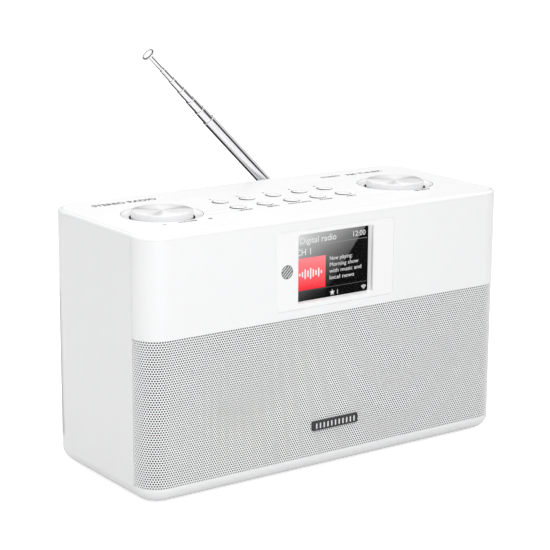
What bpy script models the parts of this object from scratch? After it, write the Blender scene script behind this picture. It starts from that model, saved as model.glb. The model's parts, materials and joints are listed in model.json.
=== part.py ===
"""A tabletop stereo internet radio, for Blender 4.5: white cabinet, front grille, colour display,
two push-and-turn knobs and ten buttons on the lid, and a telescopic aerial on the back.

Metres, +Z up, front towards -Y. The origin is at the bottom centre of the whole object's box, on
the surface that the four feet stand on.
"""

import bpy
import bmesh
import math
from mathutils import Matrix, Vector

# ---------------------------------------------------------------- driving dimensions

GAP = 0.0003            # clearance kept between neighbouring pieces
WIDTH = 0.280
DEPTH = 0.120
FOOT_HEIGHT = 0.002
BASE_Z = FOOT_HEIGHT
TOP_Z = BASE_Z + 0.166
LID_EDGE = 0.0025       # height of the lid's visible edge
LID_Z = TOP_Z - LID_EDGE
FRONT_RADIUS = 0.0158
REAR_RADIUS = 0.0192
BASE_RADIUS = 0.0092    # rounding all round the underside
LID_ROUNDING = 0.0022
WALL = 0.003
SEAM_DEPTH = 0.0168     # how far the front moulding wraps round the sides
GRILLE_LOW, GRILLE_HIGH = BASE_Z + 0.0097, BASE_Z + 0.1021
GRILLE_SHEET = 0.001

BADGE_SIZE = (0.0364, 0.0012, 0.0064)
BADGE_Z = BASE_Z + 0.0293
BADGE_PROUD = BADGE_SIZE[1]

AERIAL_OFFSET = 0.0075  # aerial's axis behind the back face
AERIAL_X, AERIAL_Z = 0.0757, BASE_Z + 0.121
AERIAL_TILT = math.radians(-45)
TUBE_RADII = [0.0042 - 0.00045 * i for i in range(7)]
TUBE_WALL = 0.000175
TUBE_LENGTH = 0.112
TUBE_STEP = 0.0101      # how far each section stands out of the last
OUTER_TUBE_END = 0.1255
ROD_SHOWN = 0.0140
TIP_RADIUS, TIP_THICKNESS = 0.0044, 0.0018

BODY_Y = (BADGE_PROUD - (AERIAL_OFFSET + TIP_RADIUS)) / 2
FRONT_Y, REAR_Y = BODY_Y - DEPTH / 2, BODY_Y + DEPTH / 2
SEAM_Y = FRONT_Y + SEAM_DEPTH

KNOB_X, KNOB_Y = 0.0927, BODY_Y - 0.0022
KNOB_RADIUS, KNOB_PROUD = 0.0195, 0.0029
DISH_RADIUS, WELL_RADIUS, DISH_DEPTH = 0.0254, 0.0203, 0.002
WELL_FLOOR = TOP_Z - 0.0048
CUP_FLOOR = TOP_Z - 0.0068

BUTTON_PITCH, BUTTON_RADIUS, BUTTON_PROUD = 0.0209, 0.00535, 0.0009
BUTTON_ROWS = {"preset": BODY_Y + 0.0094, "function": BODY_Y - 0.0111}
BUTTON_COLUMNS = range(1, 6)
CONTROL_BOARD_Z = TOP_Z - 0.0180
SWITCH_HEIGHT = 0.0040

BEZEL_SIZE, BEZEL_Z = (0.0916, 0.0502), BASE_Z + 0.1329
WINDOW_SIZE = (0.0589, 0.0441)
SCREEN_DEPTH = 0.0058   # screen's face behind the front of the bezel
SENSOR_X, SENSOR_RADIUS = -0.0382, 0.0044

SPEAKER_X, SPEAKER_Z = 0.072, BASE_Z + 0.056
SPEAKER_HOLE = 0.033
GRILLE_RECESS = 0.003

REAR_OPENING = (0.236, 0.132)
REAR_OPENING_Z = BASE_Z + 0.082
LEDGE = 0.008
COVER_THICKNESS = 0.0024

MAIN_BOARD_Z = BASE_Z + 0.016
JACK_Z = BASE_Z + 0.030
JACKS = [("dc_jack", -0.070, 0.0045), ("aux_jack", -0.046, 0.0036), ("headphone_jack", -0.026, 0.0036)]
FOOT_RADIUS = 0.007

LARGE_ROUND, MEDIUM_ROUND, SMALL_ROUND = 32, 20, 12     # sides of round pieces, by size

# ---------------------------------------------------------------- helpers


def clear_scene():
    for obj in list(bpy.data.objects):
        bpy.data.objects.remove(obj, do_unlink=True)


def material(name, colour, roughness, metallic=0.0):
    found = bpy.data.materials.get(name)
    if found:
        return found
    made = bpy.data.materials.new(name)
    made.use_nodes = True
    shader = made.node_tree.nodes["Principled BSDF"]
    shader.inputs["Base Color"].default_value = (*colour, 1.0)
    shader.inputs["Roughness"].default_value = roughness
    shader.inputs["Metallic"].default_value = metallic
    return made


def place(name, bm, finish, location=(0, 0, 0), parent=None):
    """Turn a bmesh into a named object, with its normals out and flat faces kept sharp."""
    bmesh.ops.recalc_face_normals(bm, faces=bm.faces)
    mesh = bpy.data.meshes.new(name)
    bm.to_mesh(mesh)
    bm.free()
    mesh.materials.append(finish)
    mesh.shade_smooth()
    mesh.set_sharp_from_angle(angle=math.radians(35))
    obj = bpy.data.objects.new(name, mesh)
    obj.location = location
    obj.parent = parent
    bpy.context.scene.collection.objects.link(obj)
    return obj


def lofted(rings):
    """A closed body through rings of equally many points, capped at both ends."""
    bm = bmesh.new()
    loops = [[bm.verts.new(point) for point in ring] for ring in rings]
    for lower, upper in zip(loops, loops[1:]):
        for i in range(len(lower)):
            j = (i + 1) % len(lower)
            bm.faces.new((lower[i], lower[j], upper[j], upper[i]))
    bm.faces.new(list(reversed(loops[0])))
    bm.faces.new(loops[-1])
    return bm


def turned(profile, segments, axis="Z"):
    """Turn (radius, height) points about an axis: open from axis to axis, or else a closed ring."""
    bm = bmesh.new()
    rows = []
    for radius, height in profile:
        count = 1 if radius == 0 else segments
        row = []
        for i in range(count):
            angle = 2 * math.pi * i / segments
            row.append(bm.verts.new((radius * math.cos(angle), radius * math.sin(angle), height)))
        rows.append(row)
    pairs = list(zip(rows, rows[1:]))
    if profile[0][0] and profile[-1][0]:
        pairs.append((rows[-1], rows[0]))
    for lower, upper in pairs:
        for i in range(segments):
            j = (i + 1) % segments
            corners = [lower[i % len(lower)], lower[j % len(lower)],
                       upper[j % len(upper)], upper[i % len(upper)]]
            unique = list(dict.fromkeys(corners))
            if len(unique) > 2:
                bm.faces.new(unique)
    if axis == "Y":
        bmesh.ops.rotate(bm, verts=bm.verts, matrix=Matrix.Rotation(math.radians(-90), 3, "X"))
    if axis == "X":
        bmesh.ops.rotate(bm, verts=bm.verts, matrix=Matrix.Rotation(math.radians(90), 3, "Y"))
    return bm


def cylinder(radius, low, high, segments, axis="Z"):
    return turned([(0, low), (radius, low), (radius, high), (0, high)], segments, axis)


def boxes(*corner_pairs):
    """One mesh of separate boxes, each from its lowest to its highest corner."""
    bm = bmesh.new()
    for low, high in corner_pairs:
        size = Vector(high) - Vector(low)
        middle = (Vector(high) + Vector(low)) / 2
        matrix = Matrix.Translation(middle) @ Matrix.Diagonal((*size, 1))
        bmesh.ops.create_cube(bm, size=1, matrix=matrix)
    return bm


def scattered(shape, places):
    """One mesh of a shape at several places, so that one Boolean cuts or joins them all."""
    single = bpy.data.meshes.new("single")
    shape.to_mesh(single)
    shape.free()
    bm = bmesh.new()
    for offset in places:
        known = len(bm.verts)
        bm.from_mesh(single)
        bm.verts.ensure_lookup_table()
        bmesh.ops.translate(bm, verts=bm.verts[known:], vec=offset)
    bpy.data.meshes.remove(single)
    return bm


def arc(centre_x, centre_y, radius, start, steps=5):
    """Points of a quarter circle that starts at an angle given in quarter turns."""
    angles = [math.pi / 2 * (start + i / steps) for i in range(steps + 1)]
    return [(centre_x + radius * math.cos(a), centre_y + radius * math.sin(a)) for a in angles]


def rounded_rectangle(width, height, radius, steps=4):
    x, y = width / 2 - radius, height / 2 - radius
    corners = [(x, y, 0), (-x, y, 1), (-x, -y, 2), (x, -y, 3)]
    return [point for cx, cy, turn in corners for point in arc(cx, cy, radius, turn, steps)]


def upright_plate(width, height, radius, y_front, y_back, centre=(0, 0)):
    """A plate with rounded corners that stands in the XZ plane."""
    outline = rounded_rectangle(width, height, radius)
    cx, cz = centre
    return lofted([[(cx + x, y, cz + z) for x, z in outline] for y in (y_front, y_back)])


def cutter(name, bm, location=(0, 0, 0), parent=None):
    tool = place(name, bm, material("cutter", (1, 0, 0), 0.5), location, parent)
    tool.hide_render = True
    tool.display_type = "WIRE"
    return tool


def boolean(obj, operation, tool):
    step = obj.modifiers.new(tool.name, "BOOLEAN")
    step.operation = operation
    step.solver = "EXACT"
    step.object = tool


def cut(obj, *tools):
    for tool in tools:
        boolean(obj, "DIFFERENCE", tool)


def join(obj, *tools):
    for tool in tools:
        boolean(obj, "UNION", tool)


def rounding(radius, z_edge, direction, steps=4):
    """(inset, height) pairs of a quarter round; direction is +1 under a body, -1 at its top."""
    pairs = []
    for i in range(steps + 1):
        angle = math.pi / 2 * i / steps
        pairs.append((radius * (1 - math.sin(angle)), z_edge + direction * radius * (1 - math.cos(angle))))
    return pairs


# ---------------------------------------------------------------- the body's outlines


def front_outline(inset, back_y):
    """The front moulding's outline, from one side seam round both front corners to the other."""
    x, y = WIDTH / 2 - FRONT_RADIUS, FRONT_Y + FRONT_RADIUS
    radius = FRONT_RADIUS - inset
    half = WIDTH / 2 - inset
    return [(-half, back_y), *arc(-x, y, radius, 2), *arc(x, y, radius, 3), (half, back_y)]


def rear_outline(inset, front_y):
    x, y = WIDTH / 2 - REAR_RADIUS, REAR_Y - REAR_RADIUS
    radius = REAR_RADIUS - inset
    half = WIDTH / 2 - inset
    return [(half, front_y), *arc(x, y, radius, 0), *arc(-x, y, radius, 1), (-half, front_y)]


def whole_outline(inset):
    seam = (SEAM_Y + REAR_Y) / 2
    return front_outline(inset, seam)[1:-1] + rear_outline(inset, seam)[1:-1]


def rings(outline, levels, *args):
    return [[(x, y, z) for x, y in outline(inset, *args)] for inset, z in levels]


def band(outer, inner, back_y, low, high):
    """An upright band round the front, between two insets of the front outline."""
    outline = front_outline(outer, back_y) + list(reversed(front_outline(inner, back_y)))
    return lofted([[(x, y, z) for x, y in outline] for z in (low, high)])


# ---------------------------------------------------------------- cabinet, front and back


def make_cabinet(white):
    top = LID_Z - GAP
    front = SEAM_Y + GAP / 2
    shell = lofted(rings(rear_outline, rounding(BASE_RADIUS, BASE_Z, 1) + [(0, top)], front))
    cabinet = place("cabinet", shell, white)
    back_wall = 0.0065
    inside = [(0.75 * BASE_RADIUS, BASE_Z + WALL), (WALL, BASE_Z + BASE_RADIUS), (WALL, top + WALL)]
    hollow = lofted([[(x, min(y, REAR_Y - back_wall), z) for x, y in rear_outline(inset, front - WALL)]
                     for inset, z in inside])
    width, height = REAR_OPENING
    pocket = upright_plate(width, height, 0.008, REAR_Y - COVER_THICKNESS - 2 * GAP, REAR_Y + WALL,
                           (0, REAR_OPENING_Z))
    through = upright_plate(width - 2 * LEDGE, height - 2 * LEDGE, 0.004, REAR_Y - 0.012,
                            REAR_Y + WALL, (0, REAR_OPENING_Z))
    screw_holes = scattered(cylinder(0.0016, -0.006, 0.006, SMALL_ROUND, "Y"),
                            [(x, REAR_Y - 0.006, z) for x, z in screw_places()])
    cut(cabinet, cutter("cabinet_hollow", hollow), cutter("cover_pocket", pocket),
        cutter("back_opening", through), cutter("cabinet_screw_holes", screw_holes))
    post_top = MAIN_BOARD_Z - BASE_Z - WALL - GAP
    posts = scattered(cylinder(0.003, -0.002, post_top, SMALL_ROUND),
                      [(x, BODY_Y + y, BASE_Z + WALL) for x in (-0.08, 0.08) for y in (0, 0.036)])
    join(cabinet, cutter("board_posts", posts))


def make_front_fascia(white):
    back, top = SEAM_Y - GAP / 2, LID_Z - GAP
    low, high = GRILLE_LOW - GAP, GRILLE_HIGH + GAP
    levels = rounding(BASE_RADIUS, BASE_Z, 1) + [(0, top)]
    fascia = place("front_fascia", lofted(rings(front_outline, levels, back)), white)
    cut(fascia, cutter("grille_recess", band(-WALL, GRILLE_RECESS, back + WALL, low, high)))
    thick = GRILLE_RECESS + WALL
    lower = [(BASE_RADIUS + WALL, BASE_Z + WALL), (thick, BASE_Z + 2 * WALL), (thick, high + WALL)]
    upper = [(WALL, high + WALL / 2), (WALL, top - WALL)]
    for name, hollow in (("lower", lower), ("upper", upper)):
        cut(fascia, cutter(f"fascia_{name}_hollow", lofted(rings(front_outline, hollow, back + WALL))))
    holes = scattered(cylinder(SPEAKER_HOLE, -0.01, 0.01, LARGE_ROUND, "Y"),
                      [(x, FRONT_Y + 0.006, SPEAKER_Z) for x in (-SPEAKER_X, SPEAKER_X)])
    cut(fascia, cutter("speaker_holes", holes))
    width, height = BEZEL_SIZE
    opening = upright_plate(width + 2 * GAP, height + 2 * GAP, 0.0025 + GAP, FRONT_Y - 0.004,
                            FRONT_Y + 0.0058, (0, BEZEL_Z))
    cut(fascia, cutter("display_opening", opening))


def make_speaker_grille(white):
    place("speaker_grille", band(GAP, GAP + GRILLE_SHEET, SEAM_Y - GAP, GRILLE_LOW, GRILLE_HIGH), white)


def make_badge(metal):
    width, depth, height = BADGE_SIZE
    place("badge_plate", upright_plate(width, height, 0.0012, FRONT_Y - depth, FRONT_Y, (0, BADGE_Z)),
          metal)


def screw_places():
    x = REAR_OPENING[0] / 2 - LEDGE / 2
    z = REAR_OPENING[1] / 2 - LEDGE / 2
    return [(sx * x, REAR_OPENING_Z + sz * z) for sx in (-1, 1) for sz in (-1, 1)]


def make_rear_cover(white):
    width, height = REAR_OPENING
    back = REAR_Y - GAP
    plate = upright_plate(width - 2 * GAP, height - 2 * GAP, 0.008 - GAP, back - COVER_THICKNESS, back,
                          (0, REAR_OPENING_Z))
    cover = place("rear_cover", plate, white)
    screws = scattered(cylinder(0.0016, -0.006, 0.006, SMALL_ROUND, "Y"),
                       [(x, REAR_Y, z) for x, z in screw_places()])
    cut(cover, cutter("cover_screw_holes", screws))
    holes = [("aerial", AERIAL_X, AERIAL_Z, 0.004)]
    holes += [(name, x, JACK_Z, radius + GAP) for name, x, radius in JACKS]
    for name, x, z, radius in holes:
        hole = cylinder(radius, -0.006, 0.006, SMALL_ROUND, "Y")
        cut(cover, cutter(f"cover_hole_{name}", hole, (x, REAR_Y - 0.002, z)))
    slots = []
    for side in (-1, 1):
        for i in range(8):
            z = REAR_OPENING_Z - 0.012 + 0.006 * i
            x = side * 0.040 - 0.014
            slots.append(((x, REAR_Y - 0.008, z), (x + 0.028, REAR_Y + 0.004, z + 0.0026)))
    cut(cover, cutter("vent_slots", boxes(*slots)))


def make_rear_screws(steel):
    head = 0.003
    profile = [(0, 0.0014), (head * 0.8, 0.0014), (head, 0.0004), (head, 0), (0.0013, 0),
               (0.0013, -0.0080), (0, -0.0090)]
    for i, (x, z) in enumerate(screw_places()):
        place(f"rear_screw_{i + 1}", turned(profile, SMALL_ROUND, "Y"), steel, (x, REAR_Y, z))


def make_feet(rubber):
    height = FOOT_HEIGHT - GAP
    profile = [(0, 0), (FOOT_RADIUS - 0.0005, 0), (FOOT_RADIUS, 0.0005), (FOOT_RADIUS, height), (0, height)]
    places = [(x, y) for y in (-0.034, 0.044) for x in (-0.116, 0.116)]
    for i, (x, y) in enumerate(places):
        place(f"foot_{i + 1}", turned(profile, SMALL_ROUND), rubber, (x, BODY_Y + y, 0))


# ---------------------------------------------------------------- lid, knobs and buttons


def button_places():
    for row, y in BUTTON_ROWS.items():
        for column in BUTTON_COLUMNS:
            yield f"{row}_button_{column}", (column - 3) * BUTTON_PITCH, y


def knob_places():
    return [("volume", -KNOB_X), ("tuning", KNOB_X)]


def make_top_cover(white):
    sheet_recess = 0.0008
    levels = [(0, LID_Z)] + list(reversed(rounding(LID_ROUNDING, TOP_Z, -1)))
    levels += [(0.0025, TOP_Z), (0.0025, TOP_Z - sheet_recess)]
    lid = place("top_cover", lofted(rings(whole_outline, levels)), white)
    collar, cup_wall = DISH_RADIUS + 0.0002, DISH_RADIUS + 0.0011
    cup = [(0.0034, WELL_FLOOR), (WELL_RADIUS, WELL_FLOOR), (WELL_RADIUS, TOP_Z - DISH_DEPTH),
           (DISH_RADIUS, TOP_Z), (collar, TOP_Z), (collar, LID_Z + 0.001), (cup_wall, LID_Z + 0.001),
           (cup_wall, CUP_FLOOR), (0.0034, CUP_FLOOR)]
    knobs = [(x, KNOB_Y, 0) for _, x in knob_places()]
    seat = cylinder(DISH_RADIUS - 0.0004, LID_Z - 0.002, TOP_Z + 0.002, LARGE_ROUND)
    cut(lid, cutter("cup_seats", scattered(seat, knobs)))
    join(lid, cutter("knob_cups", scattered(turned(cup, LARGE_ROUND), knobs)))
    hole = cylinder(BUTTON_RADIUS + 0.0005, LID_Z - 0.002, TOP_Z, SMALL_ROUND)
    cut(lid, cutter("button_holes", scattered(hole, [(x, y, 0) for _, x, y in button_places()])))


def make_top_sheet(brushed):
    thickness = 0.0005
    levels = [(0.0028, TOP_Z - thickness), (0.0028, TOP_Z)]
    sheet = place("top_sheet", lofted(rings(whole_outline, levels)), brushed)
    low, high = TOP_Z - 0.003, TOP_Z + 0.003
    dishes = scattered(cylinder(DISH_RADIUS + 0.0005, low, high, LARGE_ROUND),
                       [(x, KNOB_Y, 0) for _, x in knob_places()])
    holes = scattered(cylinder(BUTTON_RADIUS + 0.0006, low, high, SMALL_ROUND),
                      [(x, y, 0) for _, x, y in button_places()])
    cut(sheet, cutter("sheet_dishes", dishes), cutter("sheet_holes", holes))


def make_knobs(knob_white, steel, black):
    """Each knob sits on a shaft that slides in the rotor of a push encoder on the control board."""
    bore, shaft, rotor = 0.0033, 0.0030, 0.0047
    bottom, top = WELL_FLOOR + 0.001, TOP_Z + KNOB_PROUD
    knob = [(0, top), (KNOB_RADIUS - 0.0006, top), (KNOB_RADIUS, top - 0.0006), (KNOB_RADIUS, bottom),
            (bore, bottom), (bore, top - 0.0017), (0, top - 0.0017)]
    board_top = CONTROL_BOARD_Z + 0.0016
    shaft_low = board_top + 0.0029
    shaft_profile = [(0, shaft_low), (shaft, shaft_low), (shaft, top - 0.0020), (0, top - 0.0020)]
    encoder_low, encoder_high = board_top + GAP, CUP_FLOOR - GAP
    rotor_profile = [(bore, board_top + 0.0018), (rotor, board_top + 0.0018),
                     (rotor, encoder_high), (bore, encoder_high)]
    for name, x in knob_places():
        at = (x, KNOB_Y, 0)
        place(f"{name}_knob", turned(knob, LARGE_ROUND), knob_white, at)
        place(f"{name}_shaft", turned(shaft_profile, SMALL_ROUND), steel, at)
        place(f"{name}_rotor", turned(rotor_profile, SMALL_ROUND), black, at)
        half = 0.0065
        case = place(f"{name}_encoder", boxes(((-half, -half, encoder_low), (half, half, encoder_high))),
                     black, at)
        hollow = [(0, encoder_low + 0.0012), (rotor + GAP, encoder_low + 0.0012),
                  (rotor + GAP, encoder_high + 0.002), (0, encoder_high + 0.002)]
        cut(case, cutter(f"{name}_encoder_hollow", turned(hollow, SMALL_ROUND), at))


def make_buttons(button_white):
    """Round caps, each with a flange that holds it under the lid and a stem over its switch."""
    flange_high = LID_Z - GAP
    stem_low = CONTROL_BOARD_Z + 0.0016 + SWITCH_HEIGHT + 0.0011
    profile = [(0, TOP_Z + BUTTON_PROUD), (0.0034, TOP_Z + 0.00075), (BUTTON_RADIUS, TOP_Z + 0.0002),
               (BUTTON_RADIUS, flange_high), (0.0065, flange_high), (0.0065, flange_high - 0.0010),
               (0.0015, flange_high - 0.0010), (0.0015, stem_low), (0, stem_low)]
    for name, x, y in button_places():
        place(name, turned(profile, SMALL_ROUND), button_white, (x, y, 0))


def make_control_board(green):
    """The upper circuit board, with a push switch standing under each button."""
    low, high = CONTROL_BOARD_Z, CONTROL_BOARD_Z + 0.0016
    board = place("control_board", boxes(((-0.110, BODY_Y - 0.021, low), (0.110, BODY_Y + 0.019, high))),
                  green)
    half = 0.003
    switch = boxes(((-half, -half, high - 0.0004), (half, half, high + SWITCH_HEIGHT)))
    join(board, cutter("switches", scattered(switch, [(x, y, 0) for _, x, y in button_places()])))


# ---------------------------------------------------------------- display


def make_display(white, dark, screen, glass):
    width, height = BEZEL_SIZE
    window_width, window_height = WINDOW_SIZE
    centre = (0, BEZEL_Z)
    face, back = FRONT_Y, FRONT_Y + 0.0022
    screen_y = FRONT_Y + SCREEN_DEPTH
    bezel = place("display_bezel", upright_plate(width, height, 0.0025, face, back, centre), white)
    wall = upright_plate(window_width + 0.0030, window_height + 0.0030, 0.0015, back - 0.001,
                         screen_y - GAP, centre)
    window = upright_plate(window_width, window_height, 0.0008, face - 0.003, screen_y + 0.003, centre)
    sensor = cylinder(SENSOR_RADIUS + GAP, -0.01, 0.01, MEDIUM_ROUND, "Y")
    join(bezel, cutter("window_wall", wall))
    cut(bezel, cutter("window", window), cutter("sensor_hole", sensor, (SENSOR_X, FRONT_Y, BEZEL_Z)))
    place("display_lens", upright_plate(window_width + 0.0030, window_height + 0.0030, 0.001, screen_y,
                                        screen_y + 0.0008, centre), glass)
    place("display_module", upright_plate(window_width + 0.0080, window_height + 0.0030, 0.001,
                                          screen_y + 0.0011, screen_y + 0.0051, centre), screen)
    disc = cylinder(SENSOR_RADIUS, 0, 0.002, MEDIUM_ROUND, "Y")
    place("sensor_window", disc, dark, (SENSOR_X, FRONT_Y, BEZEL_Z))


# ---------------------------------------------------------------- speakers and boards


def make_speakers(black, paper, steel):
    mounting = FRONT_Y + GRILLE_RECESS + WALL + GAP
    basket = [(0.0300, 0), (0.0385, 0), (0.0385, 0.002), (0.0340, 0.002), (0.0210, 0.0235),
              (0.0100, 0.0235), (0.0100, 0.0215), (0.0195, 0.0215), (0.0300, 0.0030)]
    cone = [(0, 0.0085), (0.0060, 0.0093), (0.0100, 0.0130), (0.0294, 0.0008), (0.0294, 0.0020),
            (0.0100, 0.0142), (0, 0.0142)]
    magnet = [(0, 0.0238), (0.0210, 0.0238), (0.0220, 0.0248), (0.0220, 0.0358), (0.0210, 0.0368),
              (0, 0.0368)]
    for side, x in (("left", -SPEAKER_X), ("right", SPEAKER_X)):
        at = (x, mounting, SPEAKER_Z)
        place(f"speaker_basket_{side}", turned(basket, MEDIUM_ROUND, "Y"), black, at)
        place(f"speaker_cone_{side}", turned(cone, MEDIUM_ROUND, "Y"), paper, at)
        place(f"speaker_magnet_{side}", turned(magnet, MEDIUM_ROUND, "Y"), steel, at)


def make_main_board(green):
    """The lower circuit board, with its tuner box, power inductor and reservoir capacitors."""
    low, high = MAIN_BOARD_Z, MAIN_BOARD_Z + 0.0016
    y0 = BODY_Y - 0.006
    board = place("main_board", boxes(((-0.090, y0, low), (0.090, y0 + 0.048, high))), green)
    blocks = [((-0.020, y0 + 0.006), (0.022, y0 + 0.034), 0.0070),
              ((0.040, y0 + 0.010), (0.054, y0 + 0.024), 0.0090),
              ((-0.058, y0 + 0.008), (-0.030, y0 + 0.014), 0.0180)]
    parts = boxes(*(((x1, y1, high - 0.0004), (x2, y2, high + height))
                    for (x1, y1), (x2, y2), height in blocks))
    cans = scattered(cylinder(0.0050, high - 0.0004, high + 0.016, SMALL_ROUND),
                     [(x, y0 + 0.018, 0) for x in (0.062, 0.074)])
    join(board, cutter("board_parts", parts), cutter("capacitors", cans))


def make_jacks(black):
    """Sockets that stand behind the back cover and come through it flush."""
    mouth = -GAP * 2
    shoulder = -COVER_THICKNESS - 2 * GAP - 0.0003
    for name, x, radius in JACKS:
        outer = radius + 0.001
        if name == "dc_jack":
            profile = [(0, -0.012), (outer, -0.012), (outer, shoulder), (radius, shoulder),
                       (radius, mouth), (0.0028, mouth), (0.0028, -0.0105), (0.0009, -0.0105),
                       (0.0009, mouth - 0.001), (0, mouth - 0.0006)]
        else:
            profile = [(0, -0.015), (outer, -0.015), (outer, shoulder), (radius, shoulder),
                       (radius, mouth), (0.0019, mouth), (0.0019, -0.0135), (0, -0.0135)]
        place(name, turned(profile, SMALL_ROUND, "Y"), black, (x, REAR_Y, JACK_Z))


# ---------------------------------------------------------------- aerial


def make_aerial_mount(plastic, steel):
    """The fixed socket, and the knuckle that swivels in it and holds the aerial's hinge pin."""
    below = -AERIAL_OFFSET
    ring = [(0.0036, below), (0.0090, below), (0.0090, below + 0.0012), (0.0080, below + 0.0022),
            (0.0036, below + 0.0022)]
    at = (AERIAL_X, REAR_Y + AERIAL_OFFSET, AERIAL_Z)
    place("aerial_socket", turned(ring, MEDIUM_ROUND, "Y"), plastic, at)

    hinge = bpy.data.objects.new("aerial_hinge", None)
    hinge.location = at
    hinge.rotation_euler = (0, AERIAL_TILT, 0)
    bpy.context.scene.collection.objects.link(hinge)

    disc_low, disc_high = below + 0.0025, below + 0.0039
    stub = [(0, below - 0.008), (0.0032, below - 0.008), (0.0032, disc_low), (0.0070, disc_low),
            (0.0070, disc_high), (0, disc_high)]
    knuckle = place("aerial_knuckle", turned(stub, MEDIUM_ROUND, "Y"), plastic, parent=hinge)
    half, ear = 0.0035, 0.0030
    block = boxes(((-half, disc_high - 0.0006, -ear), (half, 0, ear)))
    head = cylinder(ear, -half, half, SMALL_ROUND, "X")
    slot = boxes(((-0.0015, disc_high, -0.01), (0.0015, 0.01, 0.01)))
    hole = cylinder(0.0015, -0.01, 0.01, SMALL_ROUND, "X")
    join(knuckle, cutter("knuckle_block", block, parent=hinge), cutter("knuckle_head", head, parent=hinge))
    cut(knuckle, cutter("knuckle_slot", slot, parent=hinge), cutter("knuckle_hole", hole, parent=hinge))
    pin = [(0, -0.0040), (0.0012, -0.0040), (0.0012, 0.0040), (0, 0.0040)]
    place("aerial_pin", turned(pin, SMALL_ROUND, "X"), steel, parent=hinge)
    return hinge


def make_aerial_tubes(chrome, hinge):
    """Seven sections: a foot that hinges on the pin, six tubes, a rod, and the tip on its end."""
    outer = TUBE_RADII[0]
    foot_low, floor = 0.0075, 0.0115
    first = [(0, foot_low), (outer, foot_low), (outer, OUTER_TUBE_END),
             (outer - TUBE_WALL, OUTER_TUBE_END), (outer - TUBE_WALL, floor), (0, floor)]
    tube = place("aerial_tube_1", turned(first, SMALL_ROUND), chrome, parent=hinge)
    lug = 0.0028
    lug_disc = cylinder(lug, -0.0012, 0.0012, SMALL_ROUND, "X")
    lug_plate = boxes(((-0.0012, -0.0022, 0), (0.0012, 0.0022, foot_low + 0.002)))
    hole = cylinder(0.0015, -0.01, 0.01, SMALL_ROUND, "X")
    join(tube, cutter("lug_plate", lug_plate, parent=hinge), cutter("lug_disc", lug_disc, parent=hinge))
    cut(tube, cutter("lug_hole", hole, parent=hinge))

    end = OUTER_TUBE_END
    for number, radius in enumerate(TUBE_RADII[1:-1], start=2):
        end += TUBE_STEP
        bore = radius - TUBE_WALL
        ring = [(bore, end - TUBE_LENGTH), (radius, end - TUBE_LENGTH), (radius, end), (bore, end)]
        place(f"aerial_tube_{number}", turned(ring, SMALL_ROUND), chrome, parent=hinge)

    rod, rod_end = TUBE_RADII[-1], end + ROD_SHOWN
    rod_profile = [(0, rod_end - TUBE_LENGTH), (rod, rod_end - TUBE_LENGTH), (rod, rod_end), (0, rod_end)]
    place("aerial_rod", turned(rod_profile, SMALL_ROUND), chrome, parent=hinge)
    bore = rod + GAP
    tip = [(0, rod_end + GAP), (bore, rod_end + GAP), (bore, rod_end - 0.0014), (0.0022, rod_end - 0.0014),
           (0.0025, rod_end - 0.0005), (TIP_RADIUS - 0.0004, rod_end - 0.0002),
           (TIP_RADIUS, rod_end + 0.0002), (TIP_RADIUS, rod_end + TIP_THICKNESS - 0.0004),
           (TIP_RADIUS - 0.0004, rod_end + TIP_THICKNESS), (0, rod_end + TIP_THICKNESS)]
    place("aerial_tip", turned(tip, MEDIUM_ROUND), chrome, parent=hinge)


# ---------------------------------------------------------------- assembly


def build():
    clear_scene()
    white = material("white_gloss", (0.86, 0.86, 0.87), 0.25)
    grille_white = material("grille_paint", (0.80, 0.80, 0.80), 0.45)
    brushed = material("brushed_white", (0.88, 0.88, 0.88), 0.35, 0.3)
    knob_white = material("spun_white", (0.85, 0.85, 0.86), 0.3, 0.4)
    button_white = material("button_white", (0.88, 0.88, 0.88), 0.3)
    badge_metal = material("badge_metal", (0.25, 0.25, 0.26), 0.35, 0.9)
    chrome = material("chrome", (0.75, 0.75, 0.76), 0.12, 1.0)
    steel = material("steel", (0.55, 0.55, 0.57), 0.35, 1.0)
    black = material("black_plastic", (0.03, 0.03, 0.03), 0.5)
    paper = material("cone_paper", (0.05, 0.05, 0.05), 0.8)
    rubber = material("rubber", (0.12, 0.12, 0.12), 0.9)
    green = material("circuit_board", (0.03, 0.22, 0.08), 0.5)
    screen = material("screen", (0.02, 0.02, 0.03), 0.2)
    glass = material("clear_glass", (0.90, 0.92, 0.92), 0.05)
    dark = material("sensor_grey", (0.35, 0.35, 0.36), 0.4)

    make_cabinet(white)
    make_front_fascia(white)
    make_speaker_grille(grille_white)
    make_badge(badge_metal)
    make_rear_cover(white)
    make_rear_screws(steel)
    make_feet(rubber)
    make_top_cover(white)
    make_top_sheet(brushed)
    make_knobs(knob_white, steel, black)
    make_buttons(button_white)
    make_control_board(green)
    make_display(white, dark, screen, glass)
    make_speakers(black, paper, steel)
    make_main_board(green)
    make_jacks(black)
    hinge = make_aerial_mount(white, steel)
    make_aerial_tubes(chrome, hinge)


build()
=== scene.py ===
"""Looks of the white tabletop radio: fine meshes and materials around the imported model.

Metres, in the model's own frame: +Z up, front towards -Y, origin under the middle of the radio.
"""

import json
import math

import bmesh
import bpy
import numpy as np
from mathutils import Matrix, Vector


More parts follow.
